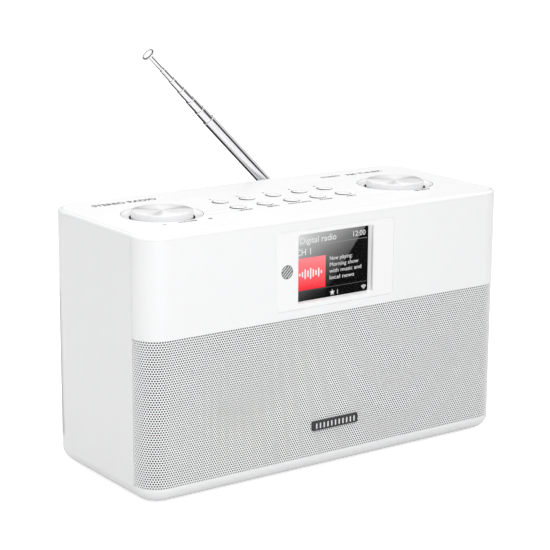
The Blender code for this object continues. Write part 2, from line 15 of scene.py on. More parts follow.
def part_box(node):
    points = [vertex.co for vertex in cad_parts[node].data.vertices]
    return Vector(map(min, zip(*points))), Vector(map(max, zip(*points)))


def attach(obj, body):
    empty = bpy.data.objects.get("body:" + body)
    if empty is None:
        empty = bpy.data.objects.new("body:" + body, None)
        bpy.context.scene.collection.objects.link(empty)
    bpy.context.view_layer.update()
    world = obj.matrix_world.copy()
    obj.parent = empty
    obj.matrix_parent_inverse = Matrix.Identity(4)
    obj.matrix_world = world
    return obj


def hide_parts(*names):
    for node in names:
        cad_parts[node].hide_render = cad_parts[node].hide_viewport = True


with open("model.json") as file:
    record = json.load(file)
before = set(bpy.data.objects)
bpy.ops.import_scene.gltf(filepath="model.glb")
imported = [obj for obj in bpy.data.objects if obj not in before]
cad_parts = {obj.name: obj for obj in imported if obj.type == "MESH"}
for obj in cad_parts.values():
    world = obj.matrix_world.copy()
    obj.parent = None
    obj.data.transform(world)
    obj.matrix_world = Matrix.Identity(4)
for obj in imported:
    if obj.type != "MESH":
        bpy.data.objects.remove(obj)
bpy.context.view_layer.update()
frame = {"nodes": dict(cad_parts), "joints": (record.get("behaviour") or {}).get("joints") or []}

# ---- dimensions, from the frame

GAP = 0.0003            # between neighbouring pieces
MAIN_BODY = "radio_body"


def middle(node):
    low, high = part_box(node)
    return (low + high) / 2


def face_size(node):
    """A node's width and height, seen from the front."""
    low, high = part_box(node)
    return high.x - low.x, high.z - low.z


CABINET_LOW, CABINET_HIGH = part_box("cabinet")
WIDTH = CABINET_HIGH.x - CABINET_LOW.x
FRONT_Y, REAR_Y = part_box("front_fascia")[0].y, CABINET_HIGH.y
BODY_Y = (FRONT_Y + REAR_Y) / 2
BASE_Z, TOP_Z = CABINET_LOW.z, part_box("top_cover")[1].z
LID_Z = CABINET_HIGH.z + GAP
SEAM_Y = CABINET_LOW.y - GAP / 2
FRONT_RADIUS, REAR_RADIUS = 0.0158, 0.0192
BASE_RADIUS, LID_ROUNDING = 0.0092, 0.0022
WALL = 0.003
EDGE = 0.00004          # softened edges along the seams
SEAM = 0.00030          # visible width of the seam round the front moulding
HAIRLINE = 0.00002      # visible width of the closest seams: under the lid and round the bezel

GRILLE_LOW, GRILLE_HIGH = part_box("speaker_grille")[0].z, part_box("speaker_grille")[1].z
GRILLE_SHEET = 0.0003
GRILLE_RECESS = 0.003
HOLE_PITCH = 0.001687
HOLE_RADIUS = 0.00060
GRILLE_MARGIN = 0.00006     # plain sheet above and below the outermost holes

DISH_RADIUS, WELL_RADIUS, DISH_DEPTH = 0.0254, 0.0203, 0.002
WELL_FLOOR = TOP_Z - 0.0048
KNOB_METAL = 0.5
# each button's black ring is a painted shadow: raised a little and tilted
BUTTON_SHADOW_RING_RISE, BUTTON_SHADOW_RING_TILT = 0.00015, 3.2
KNOB_REFLECTION_WEDGES = [(-160, -108, 0.70), (-27, 19, 0.68), (118, 149, 0.68)]     # painted reflections on the knob faces: angles in degrees, and tone
SHEET_INSET, SHEET_THICKNESS = 0.0028, 0.0005

SCREEN_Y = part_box("display_lens")[0].y
BEZEL_SIZE, BEZEL_Z = face_size("display_bezel"), middle("display_bezel").z
WINDOW_WIDTH, WINDOW_HEIGHT = 0.0589, 0.0441

JOINTS = {joint["name"]: joint for joint in frame["joints"]}
HINGE = Vector(JOINTS["aerial_elbow"]["pos_m"])
AERIAL = Matrix.Translation(HINGE) @ Matrix.Rotation(math.radians(-45), 4, "Y")

FINE, MEDIUM, SMALL = 128, 64, 40       # sides of round pieces, by size
SHARP_ANGLE = math.radians(32)          # edges that turn by more than this stay sharp
FINISH = {}                             # materials by name
TO_BACK, TO_FRONT = (Matrix.Rotation(math.radians(turn), 4, "X") for turn in (-90, 90))
TO_SIDE = Matrix.Rotation(math.radians(90), 4, "Y")

SCREW_HOLE, SPEAKER_HOLE = 0.0016, 0.033        # radii, like the three below
BUTTON_RADIUS, BUTTON_HOLE, BUTTON_SHEET_HOLE = 0.0050, 0.00545, 0.00542
JACKS = (("dc_jack", 0.0045), ("aux_jack", 0.0036), ("headphone_jack", 0.0036))
KNOBS = [(name, middle(f"{name}_knob")) for name in ("volume", "tuning")]
BUTTONS = [f"{row}_button_{column}" for row in ("preset", "function") for column in range(1, 6)]
COVER_LOW, COVER_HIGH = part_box("rear_cover")
COVER_SIZE, COVER_Z = face_size("rear_cover"), middle("rear_cover").z
SCREWS = [middle(f"rear_screw_{i}") for i in range(1, 5)]

TUBE_RADII = [0.0042 - 0.00045 * i for i in range(7)]
TUBE_WALL = 0.000175
TUBE_LENGTH, TUBE_STEP, OUTER_TUBE_END, ROD_SHOWN = 0.112, 0.0101, 0.1255, 0.0140


def linked(name, data):
    obj = bpy.data.objects.new(name, data)
    bpy.context.scene.collection.objects.link(obj)
    return obj


def aimed(place_at, target):
    """A frame whose -Z axis points from a place to a target, with its Y axis up."""
    turn = (Vector(target) - Vector(place_at)).to_track_quat("-Z", "Y")
    return Matrix.Translation(place_at) @ turn.to_matrix().to_4x4()


def nodes_of(made):
    """Functions that add a node of a kind to a material or world, and that link two sockets."""
    made.use_nodes = True
    tree = made.node_tree
    return lambda kind: tree.nodes.new("ShaderNode" + kind), tree.links.new


# ---- camera, lights and floor

CAMERA_PLACE = Vector((-0.6718, -0.9446, 0.3948))
CAMERA_TARGET = Vector((-0.0049, BODY_Y, 0.1167))
CAMERA_ROLL = math.radians(0.35)
CAMERA_LENS = 118.28
FLOOR_TONE, FLOOR_GLOW, MIRROR_GLOW = 0.64, 0.75, 0.25


def make_camera():
    data = bpy.data.cameras.new("camera")
    data.lens, data.sensor_width = CAMERA_LENS, 36
    data.clip_start, data.clip_end = 0.01, 60
    camera = linked("camera", data)
    camera.matrix_world = aimed(CAMERA_PLACE, CAMERA_TARGET) @ Matrix.Rotation(CAMERA_ROLL, 4, "Z")
    bpy.context.scene.camera = camera


def make_softbox(name, place_at, target, size, power):
    data = bpy.data.lights.new(name, "AREA")
    data.shape, data.size, data.size_y, data.energy = "RECTANGLE", *size, power
    lamp = linked(name, data)
    lamp.matrix_world = aimed(place_at, target)
    lamp.visible_camera = False
    return lamp


def shader_of(material):
    return material.node_tree.nodes["Principled BSDF"].inputs


def make_world():
    """A white studio: light grows from the walls to the ceiling, over a dark line along the horizon."""
    world = bpy.data.worlds.new("studio")
    bpy.context.scene.world = world
    add, link = nodes_of(world)
    coords, split, ramp = add("TexCoord"), add("SeparateXYZ"), add("ValToRGB")
    link(coords.outputs["Generated"], split.inputs["Vector"])
    link(split.outputs["Z"], ramp.inputs["Fac"])
    stops = ramp.color_ramp
    stops.elements[0].position, stops.elements[1].position = 0.0, 1.0
    levels = [(0.0, 0.04), (0.075, 0.05), (0.095, 0.50), (0.35, 0.60), (1.0, 1.35)]
    while len(stops.elements) < len(levels):
        stops.elements.new(0.5)
    for stop, (position, level) in zip(stops.elements, levels):
        stop.position, stop.color = position, (level, level, level, 1)
    seen, mixed = add("LightPath"), add("Mix")
    mixed.data_type = "RGBA"
    mixed.inputs["B"].default_value = (1, 1, 1, 1)
    link(seen.outputs["Is Camera Ray"], mixed.inputs["Factor"])
    link(ramp.outputs["Color"], mixed.inputs["A"])
    link(mixed.outputs["Result"], world.node_tree.nodes["Background"].inputs["Color"])


def make_floor():
    """A pale floor, like a lit table: it looks white, and throws less light up than it shows."""
    paint = surface("floor_paint", (FLOOR_TONE,) * 3, 0.7, tint=0.01, grain=3, Emission_Color=(1, 1, 1, 1))
    add, link = nodes_of(paint)
    seen, mirrored, shown = add("LightPath"), add("Math"), add("Math")
    mirrored.operation, shown.operation = "MULTIPLY", "MULTIPLY_ADD"
    mirrored.inputs[1].default_value = MIRROR_GLOW
    shown.inputs[1].default_value = FLOOR_GLOW
    link(seen.outputs["Is Glossy Ray"], mirrored.inputs[0])
    link(seen.outputs["Is Camera Ray"], shown.inputs[0])
    link(mirrored.outputs["Value"], shown.inputs[2])
    link(shown.outputs["Value"], shader_of(paint)["Emission Strength"])
    bm = bmesh.new()
    bmesh.ops.create_grid(bm, x_segments=4, y_segments=4, size=12)
    place("studio_floor", bm, "floor_paint")


def make_card(name, place_at, target, size, tone):
    """A studio card that only shows in mirror-like surfaces, such as the aerial."""
    surface(name, (0.01, 0.01, 0.01), 0.9, tint=0.05, grain=3, Emission_Color=(1, 1, 1, 1),
        Emission_Strength=tone)
    bm = bmesh.new()
    bmesh.ops.create_grid(bm, x_segments=1, y_segments=1, size=0.5)
    bm.transform(aimed(place_at, target) @ Matrix.Diagonal((*size, 1, 1)))
    sheet = place(name, bm, name)
    sheet.visible_camera = sheet.visible_diffuse = sheet.visible_shadow = sheet.visible_transmission = False


# ---- materials


def surface(name, colour, roughness, metallic=0.0, tint=0.03, spread=0.05, grain=900, relief=0.0,
        detail=3.0, **sockets):
    """A material whose colour, roughness and relief follow one noise, of that grain per metre."""
    made = bpy.data.materials.new(name)
    add, link = nodes_of(made)
    shader = shader_of(made)
    coords, mapping, noise = add("TexCoord"), add("Mapping"), add("TexNoise")
    mapping.inputs["Scale"].default_value = grain if isinstance(grain, tuple) else (grain,) * 3
    noise.inputs["Scale"].default_value = 1.0
    noise.inputs["Detail"].default_value = detail
    link(coords.outputs["Object"], mapping.inputs["Vector"])
    link(mapping.outputs["Vector"], noise.inputs["Vector"])
    ramp = add("ValToRGB")
    for stop, position, share in zip(ramp.color_ramp.elements, (0.3, 0.7), (1 - tint, 1 + tint)):
        stop.position = position
        stop.color = (*(min(1.0, value * share) for value in colour), 1)
    link(noise.outputs["Fac"], ramp.inputs["Fac"])
    link(ramp.outputs["Color"], shader["Base Color"])
    rough = add("MapRange")
    for socket, value in (("From Min", 0.3), ("From Max", 0.7), ("To Min", roughness * (1 - spread)),
            ("To Max", roughness * (1 + spread))):
        rough.inputs[socket].default_value = value
    link(noise.outputs["Fac"], rough.inputs["Value"])
    link(rough.outputs["Result"], shader["Roughness"])
    shader["Metallic"].default_value = metallic
    if relief:
        bump = add("Bump")
        bump.inputs["Strength"].default_value = 1.0
        bump.inputs["Distance"].default_value = relief
        link(noise.outputs["Fac"], bump.inputs["Height"])
        link(bump.outputs["Normal"], shader["Normal"])
    for socket, value in sockets.items():
        shader[socket.replace("_", " ")].default_value = value
    FINISH[name] = made
    return made


def spun_face(name, centre):
    """Lathe-turned metal: its gloss runs round the centre, with soft greyer wedges painted into its colour
    as reflections.
    """
    made = surface(name, (0.95, 0.95, 0.955), 0.30, KNOB_METAL, tint=0.01, spread=0.08, grain=700,
        Anisotropic=0.95, Anisotropic_Rotation=0.25)
    add, link = nodes_of(made)
    shader = shader_of(made)
    tangent = add("Tangent")
    tangent.direction_type, tangent.axis = "RADIAL", "Z"
    link(tangent.outputs["Tangent"], shader["Tangent"])
    coords, shifted, turn, wedges = add("TexCoord"), add("Mapping"), add("TexGradient"), add("ValToRGB")
    shifted.inputs["Location"].default_value = (-centre.x, -centre.y, 0)
    turn.gradient_type = "RADIAL"
    link(coords.outputs["Object"], shifted.inputs["Vector"])
    link(shifted.outputs["Vector"], turn.inputs["Vector"])
    link(turn.outputs["Fac"], wedges.inputs["Fac"])
    # painted reflection: each wedge darkens the face's colour towards its middle
    stops = [(0.0, 1.0)]
    for start, end, tone in KNOB_REFLECTION_WEDGES:
        stops += [((start + 180) / 360, 1.0), ((0.5 * (start + end) + 180) / 360, tone),
            ((end + 180) / 360, 1.0)]
    line = wedges.color_ramp
    line.interpolation = "EASE"
    for position, tone in stops[1:-1]:
        line.elements.new(position)
    for stop, (position, tone) in zip(line.elements, sorted(stops)):
        stop.position, stop.color = position, (tone, tone, tone, 1)
    mixed = add("Mix")
    mixed.data_type, mixed.blend_type = "RGBA", "MULTIPLY"
    mixed.inputs["Factor"].default_value = 1.0
    link(shader["Base Color"].links[0].from_socket, mixed.inputs["A"])
    link(wedges.outputs["Color"], mixed.inputs["B"])
    link(mixed.outputs["Result"], shader["Base Color"])


def mapped(add, link, source, low, high):
    """The share of the way that a value has gone from one limit to another."""
    node = add("MapRange")
    node.inputs["From Min"].default_value, node.inputs["From Max"].default_value = low, high
    link(source, node.inputs["Value"])
    return node.outputs["Result"]


def lit(name, tone, specular):
    """A dark, self-lit material: its sockets, its add and link functions, and the split position."""
    made = surface(name, (tone,) * 3, 0.5, tint=0.1, grain=2000)
    add, link = nodes_of(made)
    shader = shader_of(made)
    shader["Emission Strength"].default_value, shader["Specular IOR Level"].default_value = 1.0, specular
    coords, split = add("TexCoord"), add("SeparateXYZ")
    link(coords.outputs["Object"], split.inputs["Vector"])
    return shader, add, link, split.outputs


def glow(name, low, high, top, bottom):
    """A lit display colour that runs from one tone at the bottom to another at the top."""
    shader, add, link, place_in = lit(name, 0.01, 0.1)
    height, ramp = mapped(add, link, place_in["Z"], bottom, top), add("ValToRGB")
    link(height, ramp.inputs["Fac"])
    for stop, colour in zip(ramp.color_ramp.elements, (low, high)):
        stop.color = (*colour, 1)
    link(ramp.outputs["Color"], shader["Emission Color"])


def paint_display():
    """The display's background, with a painted reflection: a grey sheen at the upper left, cut off along a
    steep slanting line.
    """
    shader, add, link, place_in = lit("display_sheen_background", 0.002, 0.0)

    def maths(operation, a, b):
        node = add("Math")
        node.operation = operation
        for socket, value in zip(node.inputs, (a, b)):
            if isinstance(value, float):
                socket.default_value = value
            else:
                link(value, socket)
        return node.outputs["Value"]

    half_width, half_height = WINDOW_WIDTH / 2, WINDOW_HEIGHT / 2
    across = mapped(add, link, place_in["X"], -half_width, half_width)
    up = mapped(add, link, place_in["Z"], BEZEL_Z - half_height, BEZEL_Z + half_height)
    # painted reflection: the slanting edge of the sheen
    line = maths("ADD", maths("MULTIPLY", up, 0.604), 0.405)
    lit_side = mapped(add, link, maths("SUBTRACT", line, across), 0.0, 0.02)
    shade = maths("SUBTRACT", maths("ADD", maths("MULTIPLY", up, 0.686), 0.252),
        maths("MULTIPLY", across, 0.47))
    sheen = maths("POWER", maths("MAXIMUM", shade, 0.05), 2.2)
    link(maths("ADD", maths("MULTIPLY", lit_side, sheen), 0.004), shader["Emission Color"])


def make_finishes():
    """The materials that most pieces share; spun_face, glow and paint_display make their own."""
    surface("white_gloss", (0.870, 0.872, 0.880), 0.22, tint=0.006, spread=0.15, grain=60, Coat_Weight=0.25,
        Coat_Roughness=0.08)
    surface("white_satin", (0.84, 0.842, 0.85), 0.38, tint=0.012, spread=0.1, relief=0.00001)
    surface("grille_paint", (0.91, 0.91, 0.915), 0.42, tint=0.02, spread=0.1, grain=1500, relief=0.000008)
    surface("brushed_white", (0.905, 0.905, 0.91), 0.34, tint=0.03, spread=0.2, grain=(9, 1500, 60),
        relief=0.0000012, detail=4.0)
    surface("bezel_gloss", (0.90, 0.90, 0.905), 0.12, tint=0.004, spread=0.15, grain=50, Coat_Weight=0.5,
        Coat_Roughness=0.04)
    # painted shade: the knob's side is a darker copy of its white
    surface("knob_side_shaded", (0.80, 0.802, 0.808), 0.28, tint=0.008, spread=0.1, grain=200)
    surface("button_white", (0.90, 0.90, 0.905), 0.25, tint=0.008, spread=0.1, grain=600)
    # painted light: the reveal inside the display window glows a little, though it is no lamp
    surface("reveal_glowing_white", (0.90, 0.90, 0.905), 0.35, tint=0.006, spread=0.1, grain=200,
        Emission_Color=(1, 1, 1, 1), Emission_Strength=0.25)
    # painted shade: grey for a strip along the display window's side wall
    surface("shade_strip_grey", (0.84, 0.84, 0.845), 0.4, tint=0.02, spread=0.1, grain=400)
    surface("badge_metal", (0.035, 0.035, 0.038), 0.35, 0.2, tint=0.15, spread=0.2, grain=(60, 900, 3000))
    surface("bright_metal", (0.80, 0.80, 0.81), 0.22, 1.0, tint=0.03, spread=0.2, grain=(60, 900, 3000))
    surface("chrome", (0.90, 0.90, 0.91), 0.04, 1.0, tint=0.015, spread=0.3, grain=(250, 250, 900))
    surface("bead_metal", (0.95, 0.95, 0.955), 0.40, 0.8, tint=0.02, spread=0.1)
    surface("tip_metal", (0.96, 0.96, 0.965), 0.25, 0.1, tint=0.02, spread=0.1, grain=500)
    # painted reflection: near-black metal for the dark ring round the aerial tip
    surface("dark_reflection_metal", (0.07, 0.07, 0.073), 0.15, 1.0, tint=0.02, spread=0.2)
    surface("steel", (0.55, 0.55, 0.57), 0.33, 1.0, tint=0.06, spread=0.2, grain=(800, 800, 3000))
    surface("ferrite", (0.06, 0.06, 0.065), 0.7, tint=0.2, relief=0.00005)
    surface("black_plastic", (0.022, 0.022, 0.023), 0.45, tint=0.12, spread=0.15, grain=1500,
        relief=0.00002)
    surface("cone_paper", (0.035, 0.035, 0.035), 0.85, tint=0.2, grain=1500, relief=0.00008)
    surface("cloth", (0.016, 0.016, 0.017), 0.95, tint=0.4, grain=2500, relief=0.0001)
    surface("rubber", (0.045, 0.045, 0.046), 0.75, tint=0.12, grain=1200, relief=0.00003)
    surface("circuit_board", (0.02, 0.17, 0.06), 0.42, tint=0.35, spread=0.2, grain=220, detail=1.0,
        relief=0.00003)
    surface("sensor_grey", (0.08, 0.08, 0.083), 0.3, tint=0.1)
    surface("sensor_ridge", (0.66, 0.66, 0.665), 0.35, tint=0.06)
    surface("printed_grey", (0.035, 0.035, 0.036), 0.5, tint=0.12, grain=2500)
    surface("printed_dark", (0.03, 0.03, 0.031), 0.5, tint=0.15, grain=2500)
    surface("clear_glass", (0.97, 0.975, 0.98), 0.005, tint=0.004, spread=0.2, grain=80,
        Transmission_Weight=1.0, IOR=1.05, Specular_IOR_Level=0.2)
    surface("screen", (0.012, 0.012, 0.014), 0.3, tint=0.1)


# ---- mesh helpers


def smooth(mesh, angle=SHARP_ANGLE):
    mesh.shade_smooth()
    mesh.set_sharp_from_angle(angle=angle)


def place(name, bm, look=None):
    """Turn a bmesh into a linked object with its normals out and its hard edges kept sharp."""
    bmesh.ops.recalc_face_normals(bm, faces=bm.faces)
    mesh = bpy.data.meshes.new(name)
    bm.to_mesh(mesh)
    bm.free()
    if look:
        mesh.materials.append(FINISH[look])
    smooth(mesh)
    return linked(name, mesh)


def fit(obj, slot, *nodes, body=MAIN_BODY):
    """Let a piece ride on its body and stand for CAD nodes, which it hides; its slot is not used."""
    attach(obj, body)
    if nodes:
        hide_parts(*nodes)
    return obj


def piece(name, bm, look, slot, *nodes, body=MAIN_BODY):
    return fit(place(name, bm, look), slot, *nodes, body=body)


def evaluated(obj):
    """A new mesh of an object with its modifiers applied."""
    return bpy.data.meshes.new_from_object(obj.evaluated_get(bpy.context.evaluated_depsgraph_get()))


def carve(obj, *cuts, united=(), kept=()):
    """Boolean an object with bmeshes: unite, then cut, then keep the inside; its flat faces stay flat."""
    steps = [("UNION", bm) for bm in united] + [("DIFFERENCE", bm) for bm in cuts]
    tools = []
    for operation, bm in steps + [("INTERSECT", bm) for bm in kept]:
        tool = place("tool", bm)
        step = obj.modifiers.new("step", "BOOLEAN")
        step.operation, step.solver, step.object = operation, "EXACT", tool
        tools.append(tool)
    mesh = evaluated(obj)
    obj.modifiers.clear()
    obj.data = mesh
    for tool in tools:
        bpy.data.objects.remove(tool)
    smooth(mesh)
    weighted = obj.modifiers.new("flat_faces", "WEIGHTED_NORMAL")
    weighted.keep_sharp, weighted.weight = True, 100
    return obj


def lofted(rings):
    """A closed body through rings of equally many points, capped at both ends."""
    bm = bmesh.new()
    loops = [[bm.verts.new(point) for point in ring] for ring in rings]
    for lower, upper in zip(loops, loops[1:]):
        for i in range(len(lower)):
            j = (i + 1) % len(lower)
            bm.faces.new((lower[i], lower[j], upper[j], upper[i]))
    bm.faces.new(list(reversed(loops[0])))
    bm.faces.new(loops[-1])
    return bm


def softened(points, radius, steps=4, closed=False):
    """Round off the inner corners of a line of (x, y) points."""
    line = [Vector(point) for point in points]
    ends = len(line) if closed else len(line) - 1
    made = [] if closed else [tuple(line[0])]
    for i in range(0 if closed else 1, ends):
        corner, before, after = line[i], line[i - 1] - line[i], line[(i + 1) % len(line)] - line[i]
        reach = min(radius, before.length / 2, after.length / 2)
        start, stop = corner + before.normalized() * reach, corner + after.normalized() * reach
        for step in range(steps + 1):
            t = step / steps
            made.append(tuple(start * (1 - t) ** 2 + corner * 2 * t * (1 - t) + stop * t * t))
    if not closed:
        made.append(tuple(line[-1]))
    return made


def turned(profile, segments, matrix=Matrix()):
    """Turn (radius, height) points about Z: open from axis to axis, or else a closed ring."""
    bm = bmesh.new()
    rows = []
    for radius, height in profile:
        count = 1 if radius < 1e-7 else segments
        turns = [2 * math.pi * i / segments for i in range(count)]
        if count == 1:
            rows.append([bm.verts.new((0, 0, height))])
        else:
            rows.append([bm.verts.new((radius * math.cos(a), radius * math.sin(a), height)) for a in turns])
    pairs = list(zip(rows, rows[1:]))
    if len(rows[0]) > 1 and len(rows[-1]) > 1:
        pairs.append((rows[-1], rows[0]))
    for lower, upper in pairs:
        for i in range(segments):
            j = (i + 1) % segments
            corners = [lower[i % len(lower)], lower[j % len(lower)], upper[j % len(upper)],
                upper[i % len(upper)]]
            unique = list(dict.fromkeys(corners))
            if len(unique) > 2:
                bm.faces.new(unique)
    bm.transform(matrix)
    return bm


def drum(radius, low, high):
    """The profile of a plain cylinder."""
    return [(0, low), (radius, low), (radius, high), (0, high)]


def cylinder(radius, low, high, segments, matrix=Matrix()):
    return turned(drum(radius, low, high), segments, matrix)


def boxes(*corner_pairs, bevel=0.0):
    """Separate boxes, each from its lowest to its highest corner, with rounded edges."""
    bm = bmesh.new()
    for low, high in corner_pairs:
        size, centre = Vector(high) - Vector(low), (Vector(high) + Vector(low)) / 2
        bmesh.ops.create_cube(bm, size=1, matrix=Matrix.Translation(centre) @ Matrix.Diagonal((*size, 1)))
    if bevel:
        bmesh.ops.bevel(bm, geom=list(bm.edges), offset=bevel, segments=2, affect="EDGES", profile=0.5)
    return bm


def joined(*parts):
    """One bmesh of several bmeshes or meshes."""
    bm = bmesh.new()
    for part in parts:
        if isinstance(part, bmesh.types.BMesh):
            mesh = bpy.data.meshes.new("part")
            part.to_mesh(mesh)
            part.free()
        else:
            mesh = part
        bm.from_mesh(mesh)
        bpy.data.meshes.remove(mesh)
    return bm


def scattered(shape, places):
    """One bmesh of a shape at several places."""
    single = bpy.data.meshes.new("single")
    shape.to_mesh(single)
    shape.free()
    bm = bmesh.new()
    for offset in places:
        known = len(bm.verts)
        bm.from_mesh(single)
        bm.verts.ensure_lookup_table()
        bmesh.ops.translate(bm, verts=bm.verts[known:], vec=offset)
    bpy.data.meshes.remove(single)
    return bm


def facing_back(point, y):
    """A frame at a point's x and z, moved to y, whose Z axis points to the back of the radio."""
    return Matrix.Translation((point.x, y, point.z)) @ TO_BACK


def facing_front(x, y, z):
    """A frame that stands upright, seen from the front: its Z axis points to the viewer."""
    return Matrix.Translation((x, y, z)) @ TO_FRONT


def upright(point, z=0.0):
    """An unturned frame at a point's x and y."""
    return Matrix.Translation((point.x, point.y, z))


def text_mesh(text, size, matrix, thickness, align="CENTER", width=None, weight=0.0):
    """Flat lettering in Blender's own font, thickened a little and stretched to a width if one is given."""
    data = bpy.data.curves.new("lettering", "FONT")
    data.body, data.size, data.align_x, data.align_y = text, size, align, "CENTER"
    data.extrude, data.resolution_u, data.offset = thickness / 2, 3, weight
    obj = linked("lettering", data)
    mesh = evaluated(obj)
    bpy.data.objects.remove(obj)
    bpy.data.curves.remove(data)
    if width:
        reach = [vertex.co.x for vertex in mesh.vertices]
        mesh.transform(Matrix.Scale(width / (max(reach) - min(reach)), 4, (1, 0, 0)))
    mesh.transform(matrix)
    return mesh


def slab(outline, matrix, thickness):
    """A flat shape from (x, y) points, given a small thickness about its own plane."""
    bm = lofted([[(x, y, z) for x, y in outline] for z in (-thickness / 2, thickness / 2)])
    bm.transform(matrix)
    return bm


# ---- the body's outlines


def arc(centre_x, centre_y, radius, start, steps=20):
    """Points of a quarter circle that starts at an angle given in quarter turns."""
    angles = [math.pi / 2 * (start + i / steps) for i in range(steps + 1)]
    return [(centre_x + radius * math.cos(a), centre_y + radius * math.sin(a)) for a in angles]


def rounded_rectangle(width, height, radius, steps=8):
    x, y = width / 2 - radius, height / 2 - radius
    corners = [(x, y, 0), (-x, y, 1), (-x, -y, 2), (x, -y, 3)]
    return [point for cx, cy, turn in corners for point in arc(cx, cy, radius, turn, steps)]


def rounding(radius, z_edge, direction, steps=10):
    """(inset, height) pairs of a quarter round; direction is +1 under a body, -1 at its top."""
    angles = [math.pi / 2 * i / steps for i in range(steps + 1)]
    return [(radius * (1 - math.sin(a)), z_edge + direction * radius * (1 - math.cos(a))) for a in angles]


def front_outline(inset, back_y):
    """The front moulding's outline, from one side seam round both front corners to the other."""
    x, y = WIDTH / 2 - FRONT_RADIUS, FRONT_Y + FRONT_RADIUS
    radius, half = FRONT_RADIUS - inset, WIDTH / 2 - inset
    left = [(-half + EDGE, back_y), (-half, back_y - EDGE)]
    right = [(half, back_y - EDGE), (half - EDGE, back_y)]
    return [*left, *arc(-x, y, radius, 2), *arc(x, y, radius, 3), *right]


def rear_outline(inset, front_y):
    x, y = WIDTH / 2 - REAR_RADIUS, REAR_Y - REAR_RADIUS
    radius, half = REAR_RADIUS - inset, WIDTH / 2 - inset
    right = [(half - EDGE, front_y), (half, front_y + EDGE)]
    left = [(-half, front_y + EDGE), (-half + EDGE, front_y)]
    return [*right, *arc(x, y, radius, 0), *arc(-x, y, radius, 1), *left]


def whole_outline(inset):
    seam = (SEAM_Y + REAR_Y) / 2
    return front_outline(inset, seam)[2:-2] + rear_outline(inset, seam)[2:-2]


def rings(outline, levels, *args):
    return [[(x, y, z) for x, y in outline(inset, *args)] for inset, z in levels]


def band(outer, inner, back_y, low, high):
    """An upright band round the front, between two insets of the front outline."""
    outline = front_outline(outer, back_y) + list(reversed(front_outline(inner, back_y)))
    return lofted([[(x, y, z) for x, y in outline] for z in (low, high)])


def upright_plate(width, height, radius, levels, centre=(0, 0)):
    """A plate that stands in the XZ plane, lofted through (y, inset) levels."""
    cx, cz = centre
    made = []
    for y, inset in levels:
        outline = rounded_rectangle(width - 2 * inset, height - 2 * inset, max(radius - inset, 1e-5))
        made.append([(cx + x, y, cz + z) for x, z in outline])
    return lofted(made)


# ---- cabinet and front


def side_levels(top):
    """The (inset, height) pairs of the cabinet's sides, from the rounded base to the edge under the lid."""
    return rounding(BASE_RADIUS, BASE_Z, 1, 14) + list(reversed(rounding(EDGE, top, -1, 3)))


def make_cabinet():
    top, front = LID_Z - HAIRLINE, SEAM_Y + SEAM / 2
    levels = side_levels(top)
    shell = place("cabinet_shell", lofted(rings(rear_outline, levels, front)), "white_gloss")
    back_wall = 0.0065
    inside = [(0.75 * BASE_RADIUS, BASE_Z + WALL), (WALL, BASE_Z + BASE_RADIUS), (WALL, top + WALL)]
    hollow = lofted([[(x, min(y, REAR_Y - back_wall), z) for x, y in rear_outline(inset, front - WALL)]
        for inset, z in inside])
    width, height = COVER_SIZE
    pocket = upright_plate(width + 2 * GAP, height + 2 * GAP, 0.008,
        [(REAR_Y - 0.003, 0), (REAR_Y - EDGE, 0), (REAR_Y + EDGE, -2 * EDGE)], (0, COVER_Z))
    through = upright_plate(width - 0.016, height - 0.016, 0.004,
        [(REAR_Y - 0.012, 0), (REAR_Y + 0.001, 0)], (0, COVER_Z))
    holes = [cylinder(SCREW_HOLE, -0.012, 0.001, SMALL, facing_back(screw, REAR_Y)) for screw in SCREWS]
    carve(shell, hollow, pocket, through, joined(*holes))
    fit(shell, "white_gloss", "cabinet")
    tongue = band(WALL + 0.0001, WALL + 0.0011, SEAM_Y + 0.004, BASE_Z + 0.012, top - 0.001)
    lip = place("seam_tongue", tongue, "white_satin")
    keep = boxes(((-WIDTH, SEAM_Y - 0.003, 0), (WIDTH, SEAM_Y + 0.005, 1)))
    fit(carve(lip, kept=[keep]), "white_satin")


def make_fascia():
    back, top = SEAM_Y - SEAM / 2, LID_Z - HAIRLINE
    low, high = GRILLE_LOW - GAP, GRILLE_HIGH + GAP
    levels = side_levels(top)
    fascia = place("front_moulding", lofted(rings(front_outline, levels, back)), "white_gloss")
    recess = band(-WALL, GRILLE_RECESS, back + WALL, low, high)
    thick = GRILLE_RECESS + WALL
    lower = [(BASE_RADIUS + WALL, BASE_Z + WALL), (thick, BASE_Z + 2 * WALL), (thick, high + WALL)]
    upper = [(WALL, high + WALL / 2), (WALL, top - WALL)]
    hollows = [lofted(rings(front_outline, hollow, back + WALL)) for hollow in (lower, upper)]
    holes = joined(*(cylinder(SPEAKER_HOLE, -0.01, 0.01, MEDIUM,
        facing_back(middle(f"speaker_cone_{side}"), FRONT_Y + 0.006)) for side in ("left", "right")))
    width, height = BEZEL_SIZE
    opening = upright_plate(width + 2 * HAIRLINE, height + 2 * HAIRLINE, 0.0025 + HAIRLINE,
        [(FRONT_Y - 0.0005, -0.0006), (FRONT_Y + 0.0001, 0), (FRONT_Y + 0.0058, 0)], (0, BEZEL_Z))
    carve(fascia, recess, *hollows, holes, opening)
    fit(fascia, "white_gloss", "front_fascia")


# ---- perforated grille


